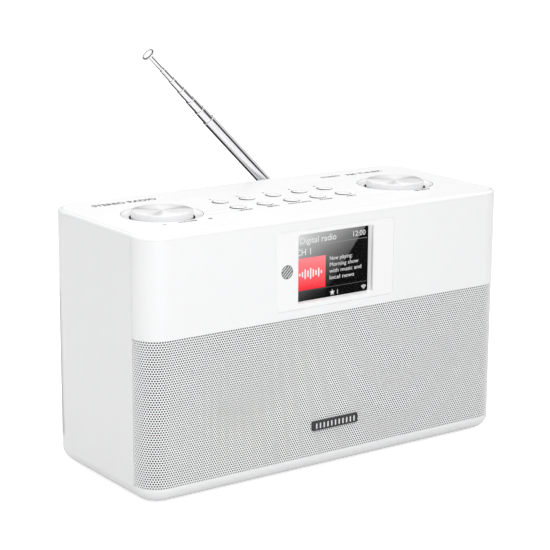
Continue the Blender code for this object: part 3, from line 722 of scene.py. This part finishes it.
def wrapped(along, height, inset):
    """Points at a distance along the front, from its middle, on the front outline at an inset."""
    radius, flat = FRONT_RADIUS - inset, WIDTH / 2 - FRONT_RADIUS
    side = np.sign(along)
    past = np.maximum(np.abs(along) - flat, 0)
    turn = np.minimum(past / (FRONT_RADIUS - GAP), math.pi / 2)
    beyond = np.maximum(past - (FRONT_RADIUS - GAP) * math.pi / 2, 0)
    x = side * (np.minimum(np.abs(along), flat) + radius * np.sin(turn))
    y = FRONT_Y + FRONT_RADIUS - radius * np.cos(turn) + beyond
    return np.stack([x, y, height], axis=1)


def stitch(outer, inner):
    """Triangles between two rings of angles about one centre, counted on past a full turn."""
    faces, i, j = [], 0, 0
    outer_next = outer + [outer[0] + 360]
    inner_next = inner + [inner[0] + 360]
    while i < len(outer) or j < len(inner):
        if j == len(inner) or (i < len(outer) and outer_next[i + 1] <= inner_next[j + 1]):
            faces.append((("outer", i), ("outer", i + 1), ("inner", j)))
            i += 1
        else:
            faces.append((("outer", i), ("inner", j + 1), ("inner", j)))
            j += 1
    return faces


def make_grille(parts=3, sides=8):
    """The perforated sheet: hexagonal cells with a round hole each, in rows shifted by half a pitch."""
    inset = GAP
    half_length = WIDTH / 2 - FRONT_RADIUS + (FRONT_RADIUS - inset) * math.pi / 2
    half_length += SEAM_Y - inset - (FRONT_Y + FRONT_RADIUS)
    row_pitch, reach = HOLE_PITCH * math.sqrt(3) / 2, HOLE_PITCH / math.sqrt(3)
    sheet_low, sheet_high = GRILLE_LOW - GAP + HAIRLINE, GRILLE_HIGH + GAP - HAIRLINE
    rows = round((sheet_high - sheet_low - 2 * HOLE_RADIUS) / row_pitch)
    first = sheet_low + HOLE_RADIUS + GRILLE_MARGIN
    stretch = (sheet_high - HOLE_RADIUS - GRILLE_MARGIN - first) / ((rows - 1) * row_pitch)
    reach *= stretch
    columns = int(2 * half_length / HOLE_PITCH) // 2
    cells = [(2 * c + r % 2, 3 * r) for r in range(rows) for c in range(-columns, columns + 1 - r % 2)
        if abs(2 * c + r % 2) * HOLE_PITCH / 2 < half_length - HOLE_RADIUS * 1.15]
    last = max(abs(column) for column, _ in cells)
    corner_steps = [(1, 1), (0, 2), (-1, 1), (-1, -1), (0, -2), (1, -1)]
    turns = [360 * (k + 0.5) / sides for k in range(sides)]
    template = stitch([30 + 60 * k for k in range(6)], turns)
    cells = np.array(cells)
    order = np.argsort(cells[:, 0], kind="stable")
    for number, chosen in enumerate(np.array_split(order, parts), start=1):
        centres = cells[chosen]
        keys = centres[:, None, :] + np.array(corner_steps)[None]
        unique, index = np.unique(keys.reshape(-1, 2), axis=0, return_inverse=True)
        index = index.reshape(-1, 6)
        s = unique[:, 0] * HOLE_PITCH / 2
        s = np.where(np.abs(unique[:, 0]) >= last, np.sign(s) * half_length, s)
        z = first + unique[:, 1] * reach / 2
        z = np.where(unique[:, 1] < 0, sheet_low, z)
        z = np.where(unique[:, 1] > 3 * (rows - 1), sheet_high, z)
        angles = np.radians(turns)
        ring_s = (centres[:, :1] * HOLE_PITCH / 2 + HOLE_RADIUS * np.cos(angles)).ravel()
        ring_z = (first + centres[:, 1:] * reach / 2 + HOLE_RADIUS * np.sin(angles)).ravel()
        flat_s, flat_z = np.concatenate([s, ring_s]), np.concatenate([z, ring_z])
        points = np.concatenate([wrapped(flat_s, flat_z, inset),
            wrapped(flat_s, flat_z, inset + GRILLE_SHEET)])
        back = len(flat_s)
        ring = len(s) + np.arange(len(centres) * sides).reshape(-1, sides)
        lookup = {"outer": index, "inner": ring}
        front = np.concatenate([np.stack([lookup[kind][:, k % lookup[kind].shape[1]] for kind, k in face],
            axis=1) for face in template])
        following = np.roll(ring, -1, axis=1)
        walls = np.stack([ring, following, following + back, ring + back], axis=2).reshape(-1, 4)
        edges = np.stack([index, np.roll(index, -1, axis=1)], axis=2).reshape(-1, 2)
        _, first_seen, counts = np.unique(np.sort(edges, axis=1), axis=0, return_index=True,
            return_counts=True)
        rim = edges[first_seen[counts == 1]]
        border = np.stack([rim[:, 1], rim[:, 0], rim[:, 0] + back, rim[:, 1] + back], axis=1)
        faces = front.tolist() + (front[:, ::-1] + back).tolist() + walls.tolist() + border.tolist()
        mesh = bpy.data.meshes.new(f"grille_sheet_{number}")
        mesh.from_pydata(points.tolist(), [], faces)
        layer = mesh.uv_layers.new(name="OFBake")
        corners = np.zeros(len(mesh.loops), np.int32)
        mesh.loops.foreach_get("vertex_index", corners)
        across = (np.tile(flat_s, 2) - flat_s.min()) / (flat_s.max() - flat_s.min())
        up = (np.tile(flat_z, 2) - sheet_low) / (sheet_high - sheet_low) * 0.48
        up[back:] += 0.5
        layer.data.foreach_set("uv", np.stack([across[corners], up[corners]], axis=1).ravel())
        mesh.materials.append(FINISH["grille_paint"])
        smooth(mesh, math.radians(50))
        fit(linked(f"grille_sheet_{number}", mesh), "grille_paint", "speaker_grille")
    cloth = band(GAP + GRILLE_SHEET + 0.0004, GAP + GRILLE_SHEET + 0.0008, SEAM_Y - GAP,
        GRILLE_LOW + 0.0002, GRILLE_HIGH - 0.0002)
    piece("grille_cloth", cloth, "cloth", "cone_paper")


def make_badge():
    """A plain dark plate with a frame round a shallow recess, a row of bright upright bars, and no
    lettering.
    """
    low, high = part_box("badge_plate")
    (width, height), centre, depth = face_size("badge_plate"), middle("badge_plate"), high.y - low.y
    plate = upright_plate(width, height, 0.0012, [(low.y + 0.0002, 0.0002), (low.y + 0.0004, 0),
        (high.y, 0)], (centre.x, centre.z))
    base = place("badge_base", plate, "badge_metal")
    slot = upright_plate(width - 0.0010, height - 0.0010, 0.0008, [(low.y - 0.001, 0), (low.y + 0.0005, 0)],
        (centre.x, centre.z))
    fit(carve(base, slot), "badge_metal", "badge_plate")
    bars, count, pitch = [], 11, 0.0030
    for i in range(count):
        x = centre.x + (i - (count - 1) / 2) * pitch
        bars.append(((x - 0.00055, low.y, centre.z - 0.0019),
            (x + 0.00055, low.y + depth * 0.6, centre.z + 0.0019)))
    piece("badge_bars", boxes(*bars, bevel=0.00015), "bright_metal", "badge_metal")


# ---- lid, knobs and buttons


def make_lid():
    levels = [(EDGE, LID_Z), (0, LID_Z + EDGE)] + list(reversed(rounding(LID_ROUNDING, TOP_Z, -1)))
    levels += [(0.0025, TOP_Z - 0.00005), (0.0025, TOP_Z - 0.0008)]
    lid = place("lid_shell", lofted(rings(whole_outline, levels)), "white_gloss")
    knobs = [(centre.x, centre.y, 0) for _, centre in KNOBS]
    seats = scattered(cylinder(DISH_RADIUS + 0.00025, LID_Z - 0.002, TOP_Z + 0.002, FINE), knobs)
    buttons = [(middle(name).x, middle(name).y, 0) for name in BUTTONS]
    holes = scattered(cylinder(BUTTON_HOLE, LID_Z - 0.002, TOP_Z, MEDIUM), buttons)
    carve(lid, seats, holes)
    fit(lid, "white_gloss", "top_cover")

    sheet_levels = [(SHEET_INSET, TOP_Z - SHEET_THICKNESS), (SHEET_INSET, TOP_Z - 0.0001),
        (SHEET_INSET + 0.0001, TOP_Z)]
    sheet = place("lid_sheet", lofted(rings(whole_outline, sheet_levels)), "brushed_white")
    dishes = scattered(cylinder(DISH_RADIUS + 0.0005, TOP_Z - 0.003, TOP_Z + 0.003, FINE), knobs)
    holes = scattered(cylinder(BUTTON_SHEET_HOLE, TOP_Z - 0.003, TOP_Z + 0.003, MEDIUM), buttons)
    carve(sheet, dishes, holes)
    fit(sheet, "brushed_white", "top_sheet")

    steps, well = 12, WELL_RADIUS + 0.0004
    dish = [(well + (DISH_RADIUS - well) * i / steps, TOP_Z - DISH_DEPTH * (1 - i / steps) ** 1.35)
        for i in range(steps + 1)]
    cup = [(0.0034, WELL_FLOOR), (well, WELL_FLOOR), (well, TOP_Z - DISH_DEPTH - 0.0003), *dish,
        (DISH_RADIUS + 0.00018, TOP_Z - 0.00005), (DISH_RADIUS + 0.0002, LID_Z - 0.0002),
        (DISH_RADIUS + 0.0002, WELL_FLOOR - 0.0018), (0.0034, WELL_FLOOR - 0.0018)]
    lip = TOP_Z - DISH_DEPTH
    # painted shade: a black lining in each knob's well, so the gap round the knob reads dark
    shade_liner = [(0.0036, WELL_FLOOR + 0.00005), (well - 0.0003, WELL_FLOOR + 0.00005),
        (well - 0.0003, lip - 0.0001), (well - 0.00005, lip + 0.00005),
        (well - 0.00005, WELL_FLOOR + 0.00002), (0.0036, WELL_FLOOR + 0.00002)]
    groove = [(DISH_RADIUS + 0.00022, LID_Z), (DISH_RADIUS + 0.00048, LID_Z),
        (DISH_RADIUS + 0.00048, TOP_Z - 0.00012), (DISH_RADIUS + 0.00022, TOP_Z - 0.00012)]
    for name, centre in KNOBS:
        at = upright(centre)
        piece(f"{name}_dish", turned(cup, FINE, at), "white_gloss", "white_gloss")
        piece(f"{name}_well_shade_ring", turned(shade_liner, FINE, at), "black_plastic", "black_plastic")
        piece(f"{name}_dish_seal", turned(groove, FINE, at), "rubber", "black_plastic")


def make_knobs():
    for name, centre in KNOBS:
        low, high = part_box(f"{name}_knob")
        radius, top, bottom = (high.x - low.x) / 2, high.z, low.z
        at = upright(centre)
        bore = 0.0033
        side = softened([(radius - 0.0008, top - 0.00045), (radius - 0.0007, top - 0.0001),
            (radius, top - 0.0007), (radius, bottom), (bore, bottom), (bore, top - 0.0017),
            (0.0005, top - 0.0017), (0.0005, top - 0.0012), (radius - 0.0008, top - 0.0012)], 0.0003,
            closed=True)
        ring = place(f"{name}_knob_skirt", turned(side, FINE, at), "knob_side_shaded")
        fit(ring, "spun_white", f"{name}_knob", body=f"{name}_knob_body")
        face = [(0, top - 0.00035), (radius * 0.5, top - 0.00025), (radius - 0.0012, top - 0.0001),
            (radius - 0.00085, top - 0.0003), (radius - 0.00085, top - 0.0010), (0, top - 0.0010)]
        spun_face(f"{name}_knob_spun_painted_reflection", centre)
        piece(f"{name}_knob_face", turned(face, FINE, at), f"{name}_knob_spun_painted_reflection", "spun_white",
            body=f"{name}_knob_body")


def make_buttons():
    tilt = Matrix.Rotation(math.radians(BUTTON_SHADOW_RING_TILT), 4, (-0.305, 0.952, 0))
    seal = [(0.00508, -0.0012), (0.00538, -0.0012), (0.00538, 0.0), (0.00533, 0.00005), (0.00508, 0.00005)]
    for name in BUTTONS:
        low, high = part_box(name)
        centre, top, radius = middle(name), high.z, BUTTON_RADIUS
        edge = TOP_Z + 0.0002
        dome = [(0, top), (0.0005, top), (0.0008, top - 0.0003), (0.0022, top - 0.00032),
            (0.0036, top - 0.00042), (0.0045, top - 0.0006), (radius, edge)]
        rest = [(radius, LID_Z - GAP), (0.0065, LID_Z - GAP), (0.0065, LID_Z - GAP - 0.001),
            (0.0015, LID_Z - GAP - 0.001), (0.0015, low.z), (0, low.z)]
        profile = softened(dome + rest, 0.0002, 3)
        cap = turned(profile, MEDIUM, upright(centre))
        piece(f"{name}_cap", cap, "button_white", "button_white", name, body=name)
        # painted shadow: the black ring is tilted so it shows thicker on one side, like a shadow
        at = upright(centre, TOP_Z + BUTTON_SHADOW_RING_RISE) @ tilt
        piece(f"{name}_seal", turned(seal, MEDIUM, at), "black_plastic", "black_plastic")


def make_labels():
    """Numbers and plain words printed on the sheet, and a minus and a plus beside the volume knob."""
    ink, surface_z = 0.00004, TOP_Z + 0.00002
    grey, dark = [], []

    def print_text(target, text, size, x, y, width=None, weight=0.00009):
        at = Matrix.Translation((x, y, surface_z))
        target.append(text_mesh(text, size, at, ink, width=width, weight=weight))

    for column in range(1, 6):
        preset, function = middle(f"preset_button_{column}"), middle(f"function_button_{column}")
        print_text(grey, str(column), 0.0034, preset.x - 0.0012, preset.y + 0.0098)
        word = ("MODE", "MENU", "FAVOURITE", "ALARM", "INFO")[column - 1]
        print_text(grey, word, 0.0034, function.x, function.y - 0.0092)
    (_, left), (_, right) = KNOBS
    label_y = left.y - 0.0281
    print_text(grey, "VOLUME", 0.0032, left.x + 0.0010, label_y, 0.0132)
    print_text(grey, "SELECT", 0.0032, right.x + 0.0010, label_y, 0.0132)
    bar = rounded_rectangle(0.0030, 0.0009, 0.0002, 2)
    for x, upright in ((left.x - 0.0157, False), (left.x + 0.0173, True)):
        at = Matrix.Translation((x, label_y, surface_z))
        grey.append(slab(bar, at, ink))
        if upright:
            grey.append(slab([(y, x) for x, y in reversed(bar)], at, ink * 1.02))
    print_text(dark, "STEREO RADIO", 0.0071, left.x - 0.0012, left.y + 0.0436, 0.047, 0.00018)
    print_text(dark, "STEREO", 0.0050, right.x - 0.0217, right.y + 0.0436, 0.0159, 0.00010)
    print_text(dark, "FM TUNER", 0.0058, right.x + 0.0065, right.y + 0.0425, 0.0306, 0.00010)
    piece("printed_labels", joined(*grey), "printed_grey", "sensor_grey")
    piece("printed_title", joined(*dark), "printed_dark", "sensor_grey")


# ---- display


def window_plate(extra, radius, *levels):
    """An upright plate that is larger than the display's window by a given amount."""
    return upright_plate(WINDOW_WIDTH + extra, WINDOW_HEIGHT + extra, radius, levels, (0, BEZEL_Z))


def make_bezel():
    centre, face, back = (0, BEZEL_Z), FRONT_Y, FRONT_Y + 0.0022
    rounded = [(face + 0.0004 * (1 - math.cos(a)), 0.0004 * (1 - math.sin(a)))
        for a in np.linspace(0, math.pi / 2, 5)]
    bezel = place("bezel_plate", upright_plate(*BEZEL_SIZE, 0.0025, [*rounded, (back, 0)], centre),
        "bezel_gloss")
    wall = window_plate(0.003, 0.0022, (back - 0.001, 0), (SCREEN_Y - GAP, 0))
    mouth = [(face - 0.0010, -0.0014), (face + 0.00005, -0.00035), (face + 0.0003, -0.0001),
        (face + 0.0006, 0), (SCREEN_Y + 0.003, 0)]
    window = window_plate(0, 0.0014, *mouth)
    # painted light: the window's inner walls are a faintly glowing white
    reveal = window_plate(0.0001, 0.0014, (face + 0.0007, 0), (SCREEN_Y - 0.00005, 0))
    inner = window_plate(-0.0001, 0.0014, (face, 0), (SCREEN_Y + 0.001, 0))
    fit(carve(place("window_reveal", reveal, "reveal_glowing_white"), inner), "bezel_gloss")
    side = WINDOW_WIDTH / 2
    # painted shade: a grey strip along the window's right wall, where its shade falls
    painted_shade_strip = boxes(((side - 0.00012, face + 0.0006, BEZEL_Z - WINDOW_HEIGHT / 2 + 0.0010),
        (side, face + 0.0021, BEZEL_Z + WINDOW_HEIGHT / 2 - 0.0010)), bevel=0.00003)
    piece("window_shade_strip", painted_shade_strip, "shade_strip_grey", "bezel_gloss")

    sensor = middle("sensor_window")
    at = facing_back(sensor, FRONT_Y)
    carve(bezel, window, cylinder(0.00442, -0.01, 0.01, MEDIUM, at), united=[wall])
    fit(bezel, "bezel_gloss", "display_bezel")

    disc = softened(drum(0.00436, 0.0020, 0.0002), 0.0002)
    piece("sensor_disc", turned(disc, MEDIUM, at), "sensor_grey", "sensor_grey", "sensor_window")
    ridges, pitch, radius, wide = [], 0.0016, 0.0042, 0.00038
    for i in range(-2, 3):
        half = math.sqrt(radius ** 2 - (abs(i) * pitch + wide) ** 2)
        ridge = boxes(((-half, i * pitch - wide, 0), (half, i * pitch + wide, 0.00018)), bevel=0.00005)
        ridge.transform(facing_front(sensor.x, FRONT_Y + 0.00025,
            sensor.z) @ Matrix.Rotation(math.radians(45), 4, "Z"))
        ridges.append(ridge)
    piece("sensor_ridges", joined(*ridges), "sensor_ridge", "sensor_grey")


def make_display():
    for name, look, node, edge in (("display_panel", "screen", "display_module", 0.0002),
            ("lens_plate", "clear_glass", "display_lens", 0.0001)):
        low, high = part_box(node)
        plate = upright_plate(*face_size(node), 0.001, [(low.y, edge), (low.y + edge, 0), (high.y, 0)],
            (0, BEZEL_Z))
        piece(name, plate, look, look, node)

    picture_y = high.y + 0.00022
    height, thin = WINDOW_HEIGHT + 0.001, 0.00003
    top, bottom = BEZEL_Z + height / 2, BEZEL_Z - height / 2
    picture = window_plate(0.001, 0.0008, (picture_y, 0), (picture_y + thin, 0))
    paint_display()
    # the plate carries the painted sheen as well as the dark background
    piece("display_sheen_background", picture, "display_sheen_background", "screen")
    left, right = -WINDOW_WIDTH / 2, WINDOW_WIDTH / 2
    write_y = picture_y - 0.00004

    def at(x, z, lift=0.0):
        return facing_front(x, write_y - lift, z)

    def level(share):
        return BEZEL_Z + (share - 0.5) * WINDOW_HEIGHT

    def write(text, size, x, share, align="LEFT", width=None, weight=0.00008):
        return text_mesh(text, size, at(x, level(share)), thin, align, width, weight)

    white = [write("Digital radio", 0.0058, 0.0048, 0.868, "RIGHT", weight=0.00005),
        write("12:00", 0.0049, 0.0280, 0.867, "RIGHT", weight=0.00003),
        write("CH 1", 0.0058, -0.0141, 0.704, "RIGHT", weight=0.00005)]
    lines = (("Now playing:", 0.0178), ("Morning show", 0.0228), ("with music and", 0.0255),
        ("local news", 0.0195))
    for (line, width), share in zip(lines, (0.558, 0.465, 0.372, 0.274)):
        white.append(write(line, 0.0037, -0.0006, share, width=width, weight=0.0))
    star = []
    for i in range(10):
        reach, turn = (0.0022 if i % 2 == 0 else 0.0009), math.pi / 2 + math.pi / 5 * i
        star.append((reach * math.cos(turn), reach * math.sin(turn)))
    white.append(slab(star, at(0.0019, level(0.052)), thin))
    white.append(write("1", 0.0040, 0.0061, 0.049, "CENTER", weight=0.0))
    for reach in (0.0006, 0.0014, 0.0022, 0.0030):
        inner = max(reach - 0.0005, 0.00005)
        sweep = np.linspace(math.pi * 0.25, math.pi * 0.75, 9)
        fan = [(reach * math.cos(a), reach * math.sin(a)) for a in sweep]
        fan += [(inner * math.cos(a), inner * math.sin(a)) for a in reversed(sweep)]
        white.append(slab(fan, at(0.0271, level(0.022)), thin))
    glow("display_white", (0.82,) * 3, (0.80,) * 3, top, bottom)
    piece("display_text", joined(*white), "display_white", "screen")
    rules = [slab([(left, -0.00012), (right, -0.00012), (right, 0.00012), (left, 0.00012)],
        at(0, level(share)), thin) for share in (0.789, 0.141)]
    # painted sheen: the rules are lighter towards the top of the window
    glow("display_rule", (0.08,) * 3, (0.42,) * 3, top, bottom)
    piece("display_rules", joined(*rules), "display_rule", "screen")
    tile_low, tile_high = level(0.153), level(0.620)
    tile_width = -0.00365 - left
    tile = [(0, 0), (tile_width, 0), (tile_width, tile_high - tile_low), (0, tile_high - tile_low)]
    # painted sheen: the red tile pales towards its top
    glow("display_red", (1.0, 0.020, 0.034), (1.0, 0.27, 0.29), tile_high, tile_low)
    piece("display_tile", slab(tile, at(left, tile_low), thin), "display_red", "screen")
    heights = (0.25, 0.5, 0.9, 0.6, 1.0, 0.7, 0.45, 0.8, 0.3)
    bars = []
    for i, share in enumerate(heights):
        x, tall = left + tile_width / 2 + (i - (len(heights) - 1) / 2) * 0.0021 + 0.0012, 0.0070 * share
        bars.append(slab(rounded_rectangle(0.0011, tall, 0.0004, 3),
            at(x, (tile_low + tile_high) / 2, thin), thin))
    glow("display_bar", (0.85,) * 3, (0.95,) * 3, top, bottom)
    piece("display_bars", joined(*bars), "display_bar", "screen")


# ---- back, jacks and feet


def make_rear_cover():
    width, height = COVER_SIZE
    front, back = COVER_LOW.y, COVER_HIGH.y
    cover = place("rear_panel", upright_plate(width, height, 0.0077,
        [(front, 0), (back - 0.0004, 0), (back - 0.0001, 0.0001), (back, 0.0004)], (0, COVER_Z)),
        "white_satin")
    cuts = [cylinder(SCREW_HOLE, -0.008, 0.002, SMALL, facing_back(screw, REAR_Y)) for screw in SCREWS]
    cuts.append(cylinder(0.004, -0.008, 0.002, SMALL, facing_back(HINGE, REAR_Y)))
    for name, radius in JACKS:
        rim = [(0, -0.006), (radius + GAP, -0.006), (radius + GAP, -0.0011), (radius + 0.0016, GAP),
            (radius + 0.0016, 0.002), (0, 0.002)]
        cuts.append(turned(rim, MEDIUM, facing_back(middle(name), REAR_Y)))
    for side in (-1, 1):
        for i in range(8):
            z = COVER_Z - 0.012 + 0.006 * i + 0.0013
            levels = [(front - 0.001, 0), (back - 0.0004, 0), (back + 0.0004, -0.0008)]
            cuts.append(upright_plate(0.028, 0.0026, 0.0012, levels, (side * 0.040, z)))
    fit(carve(cover, joined(*cuts)), "white_satin", "rear_cover")
    cloths = [boxes(((side * 0.040 - 0.017, front - 0.0008, COVER_Z - 0.016),
        (side * 0.040 + 0.017, front - 0.0004, COVER_Z + 0.036))) for side in (-1, 1)]
    piece("vent_cloth", joined(*cloths), "cloth", "cone_paper")

    head = [(0, 0.0013), (0.0016, 0.00125), (0.0026, 0.0009), (0.0030, 0.0004), (0.0030, 0), (0.0013, 0),
        (0.0013, -0.0080), (0, -0.0090)]
    for i, centre in enumerate(SCREWS, start=1):
        at = facing_back(centre, REAR_Y)
        screw = place(f"cover_screw_{i}", turned(softened(head, 0.0002, 3), SMALL, at), "steel")
        slots = [boxes(((-long, -wide, 0.0004), (long, wide, 0.002)))
            for long, wide in ((0.0014, 0.0003), (0.0003, 0.0014))]
        for slot in slots:
            slot.transform(at @ Matrix.Rotation(math.radians(20 + 31 * i), 4, "Z"))
        fit(carve(screw, *slots), "steel", f"rear_screw_{i}")


def make_jacks():
    mouth, shoulder = -GAP * 2, -0.0033
    for name, radius in JACKS:
        at = facing_back(middle(name), REAR_Y)
        outer = radius + 0.001
        depth, bore = (-0.012, 0.0028) if name == "dc_jack" else (-0.015, 0.0022)
        body = [(0, depth), (outer, depth), (outer, shoulder), (radius, shoulder), (radius, mouth),
            (bore + 0.0004, mouth), (bore, mouth - 0.0005), (bore, depth + 0.0015), (0, depth + 0.0015)]
        piece(f"{name}_body", turned(softened(body, 0.0002, 3), SMALL, at), "black_plastic",
            "black_plastic", name)
        sleeve = [(bore - 0.0001, mouth - 0.0009), (bore - 0.0001, depth + 0.0016),
            (bore - 0.0004, depth + 0.0016), (bore - 0.0004, mouth - 0.0009)]
        piece(f"{name}_sleeve", turned(sleeve, SMALL, at), "bright_metal", "steel")
        if name == "dc_jack":
            pin = [(0, depth + 0.0014), (0.0009, depth + 0.0014), (0.0009, mouth - 0.001),
                (0, mouth - 0.0006)]
            piece("dc_jack_pin", turned(softened(pin, 0.0003), SMALL, at), "bright_metal", "steel")


def make_feet():
    for i in range(1, 5):
        low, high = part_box(f"foot_{i}")
        centre, radius = middle(f"foot_{i}"), (high.x - low.x) / 2
        profile = [(0, 0.0003), (radius - 0.0025, 0.0003), (radius - 0.0022, 0), (radius, 0),
            (radius, high.z), (0, high.z)]
        foot = turned(softened(profile, 0.0004), MEDIUM, upright(centre))
        piece(f"rubber_foot_{i}", foot, "rubber", "rubber", f"foot_{i}")


# ---- aerial


def make_aerial_mount():
    base = REAR_Y - HINGE.y
    at = facing_back(HINGE, HINGE.y)
    ring = softened([(0.0036, base), (0.0090, base), (0.0090, base + 0.0012), (0.0080, base + 0.0022),
        (0.0036, base + 0.0022)], 0.0003, closed=True)
    piece("aerial_base_ring", turned(ring, MEDIUM, at), "white_satin", "white_satin", "aerial_socket")
    disc_low, disc_high = base + 0.0025, base + 0.0039
    stub = [(0, base - 0.008), (0.0032, base - 0.008), (0.0032, disc_low), (0.0070, disc_low),
        (0.0070, disc_high), (0, disc_high)]
    knuckle = place("aerial_yoke", turned(softened(stub, 0.0003), MEDIUM, AERIAL @ TO_BACK), "white_satin")
    half, ear = 0.0035, 0.0030
    block = boxes(((-half, disc_high - 0.0006, -ear), (half, 0, ear)), bevel=0.0003)
    head = turned(softened(drum(ear, -half, half), 0.0003), SMALL, AERIAL @ TO_SIDE)
    slot = boxes(((-0.0015, disc_high, -0.01), (0.0015, 0.01, 0.01)))
    hole = cylinder(0.0015, -0.01, 0.01, SMALL, AERIAL @ TO_SIDE)
    block.transform(AERIAL)
    slot.transform(AERIAL)
    carve(knuckle, slot, hole, united=[block, head])
    fit(knuckle, "white_satin", "aerial_knuckle", body="aerial_knuckle")
    pin = softened([(0, -0.0042), (0.0012, -0.0040), (0.0012, 0.0040), (0, 0.0042)], 0.0003)
    piece("aerial_hinge_pin", turned(pin, SMALL, AERIAL @ TO_SIDE), "steel", "steel", "aerial_pin",
        body="aerial_knuckle")


def rolled_end(radius, end):
    """The profile of a tube's mouth, turned in a little at its end."""
    return [(radius, end - 0.0004), (radius - 0.00006, end), (radius - TUBE_WALL, end)]


def end_ring(number, radius, end):
    """A bead of satin metal round a tube's mouth."""
    bead = [(radius - 0.00005, end - 0.0010), (radius + 0.00008, end - 0.0009),
        (radius + 0.00012, end - 0.0006), (radius + 0.00008, end - 0.0003),
        (radius - 0.00005, end - 0.0002)]
    piece(f"aerial_bead_{number}", turned(bead, SMALL, AERIAL), "bead_metal", "chrome",
        body=f"aerial_tube_{number}")


def make_aerial():
    outer, foot_low, floor = TUBE_RADII[0], 0.0075, 0.0115
    profile = [(0, foot_low), (outer, foot_low), *rolled_end(outer, OUTER_TUBE_END),
        (outer - TUBE_WALL, floor), (0, floor)]
    tube = place("aerial_section_1", turned(softened(profile, 0.0001, 2), SMALL, AERIAL), "chrome")
    lug = turned(softened(drum(0.0028, -0.0012, 0.0012), 0.0002), SMALL, AERIAL @ TO_SIDE)
    plate = boxes(((-0.0012, -0.0022, 0), (0.0012, 0.0022, foot_low + 0.002)), bevel=0.0002)
    plate.transform(AERIAL)
    hole = cylinder(0.0015, -0.01, 0.01, SMALL, AERIAL @ TO_SIDE)
    carve(tube, hole, united=[plate, lug])
    fit(tube, "chrome", "aerial_tube_1", body="aerial_tube_1")
    end_ring(1, outer, OUTER_TUBE_END)

    end = OUTER_TUBE_END
    for number, radius in enumerate(TUBE_RADII[1:-1], start=2):
        end += TUBE_STEP
        profile = [(radius - TUBE_WALL, end - TUBE_LENGTH), (radius, end - TUBE_LENGTH),
            *rolled_end(radius, end)]
        section = place(f"aerial_section_{number}", turned(profile, SMALL, AERIAL), "chrome")
        fit(section, "chrome", f"aerial_tube_{number}", body=f"aerial_tube_{number}")
        end_ring(number, radius, end)

    rod, rod_end = TUBE_RADII[-1], end + ROD_SHOWN
    profile = drum(rod, rod_end - TUBE_LENGTH, rod_end)
    piece("aerial_inner_rod", turned(softened(profile, 0.0001), SMALL, AERIAL), "chrome", "chrome",
        "aerial_rod", body="aerial_rod")
    low, thick, reach = rod_end + GAP, 0.0012, 0.0044
    tip = [(0, low), (rod + 0.0001, low), (rod + 0.0001, rod_end - 0.0010),
        (rod + 0.0003, rod_end - 0.0010), (rod + 0.0005, rod_end - 0.0004),
        (reach - 0.0004, rod_end - 0.0002), (reach, rod_end + 0.0002), (reach, rod_end + thick - 0.0004),
        (reach - 0.0004, rod_end + thick), (0, rod_end + thick)]
    piece("aerial_tip_disc", turned(softened(tip, 0.0002), MEDIUM, AERIAL), "bead_metal", "chrome",
        "aerial_tip", body="aerial_rod")
    face, edge = rod_end + thick, reach - 0.0009
    cap = [(0, face - 0.0002), (edge, face - 0.0002), (edge, face + 0.00002), (0, face + 0.00006)]
    piece("aerial_tip_cap", turned(cap, MEDIUM, AERIAL), "tip_metal", "chrome", body="aerial_rod")
    # painted reflection: a near-black metal ring round the tip's face
    rim = [(edge + 0.00002, face - 0.0004), (reach - 0.0001, face - 0.0004),
        (reach + 0.00003, face - 0.0001), (reach - 0.0001, face + 0.00005),
        (edge + 0.00002, face + 0.00005)]
    piece("aerial_tip_rim", turned(rim, MEDIUM, AERIAL), "dark_reflection_metal", "chrome", body="aerial_rod")


# ---- pieces that keep their CAD shape


def finish_inner_nodes():
    """The hidden pieces keep their CAD meshes and get detailed finishes."""
    looks = {"steel": ["volume_shaft", "tuning_shaft"], "circuit_board": ["control_board", "main_board"],
        "black_plastic": ["volume_rotor", "tuning_rotor", "volume_encoder", "tuning_encoder",
        "speaker_basket_left", "speaker_basket_right"], "cone_paper": ["speaker_cone_left",
        "speaker_cone_right"], "ferrite": ["speaker_magnet_left", "speaker_magnet_right"]}
    for look, nodes in looks.items():
        for node in nodes:
            for slot in frame["nodes"][node].material_slots:
                slot.material = FINISH[look]


def build():
    bpy.context.scene.view_settings.view_transform = "Standard"
    make_camera()
    make_world()
    make_softbox("key", (-0.4, -1.05, 0.62), (-0.02, 0, 0.1), (0.5, 0.5), 5.0)
    make_softbox("top", (0.1, 0.2, 1.9), (0, 0, 0.1), (1.6, 1.6), 2.0)
    make_softbox("rear", (0.9, 1.9, 1.0), (0, 0, 0.1), (1.4, 1.0), 1.0)
    side = make_softbox("side", (-0.62, 0.33, 0.30), (-0.14, 0.03, 0.1), (0.25, 0.25), 0.3)
    side.visible_glossy = False
    make_floor()
    make_card("card_behind", (0.04, 0.295, 0.003), (0.04, 0.295, 1), (0.40, 0.41), 0.01)
    make_card("card_right", (1.13, -0.70, 0.40), (0.0, 0.06, 0.20), (0.68, 0.8), 0.01)
    make_card("card_bright", (1.45, 0.25, 0.45), (0.0, 0.06, 0.20), (1.2, 0.8), 0.72)
    for make in (make_finishes, make_cabinet, make_fascia, make_grille, make_badge, make_lid, make_knobs,
            make_buttons, make_labels, make_bezel, make_display, make_rear_cover, make_jacks, make_feet,
            make_aerial_mount, make_aerial, finish_inner_nodes):
        make()


build()
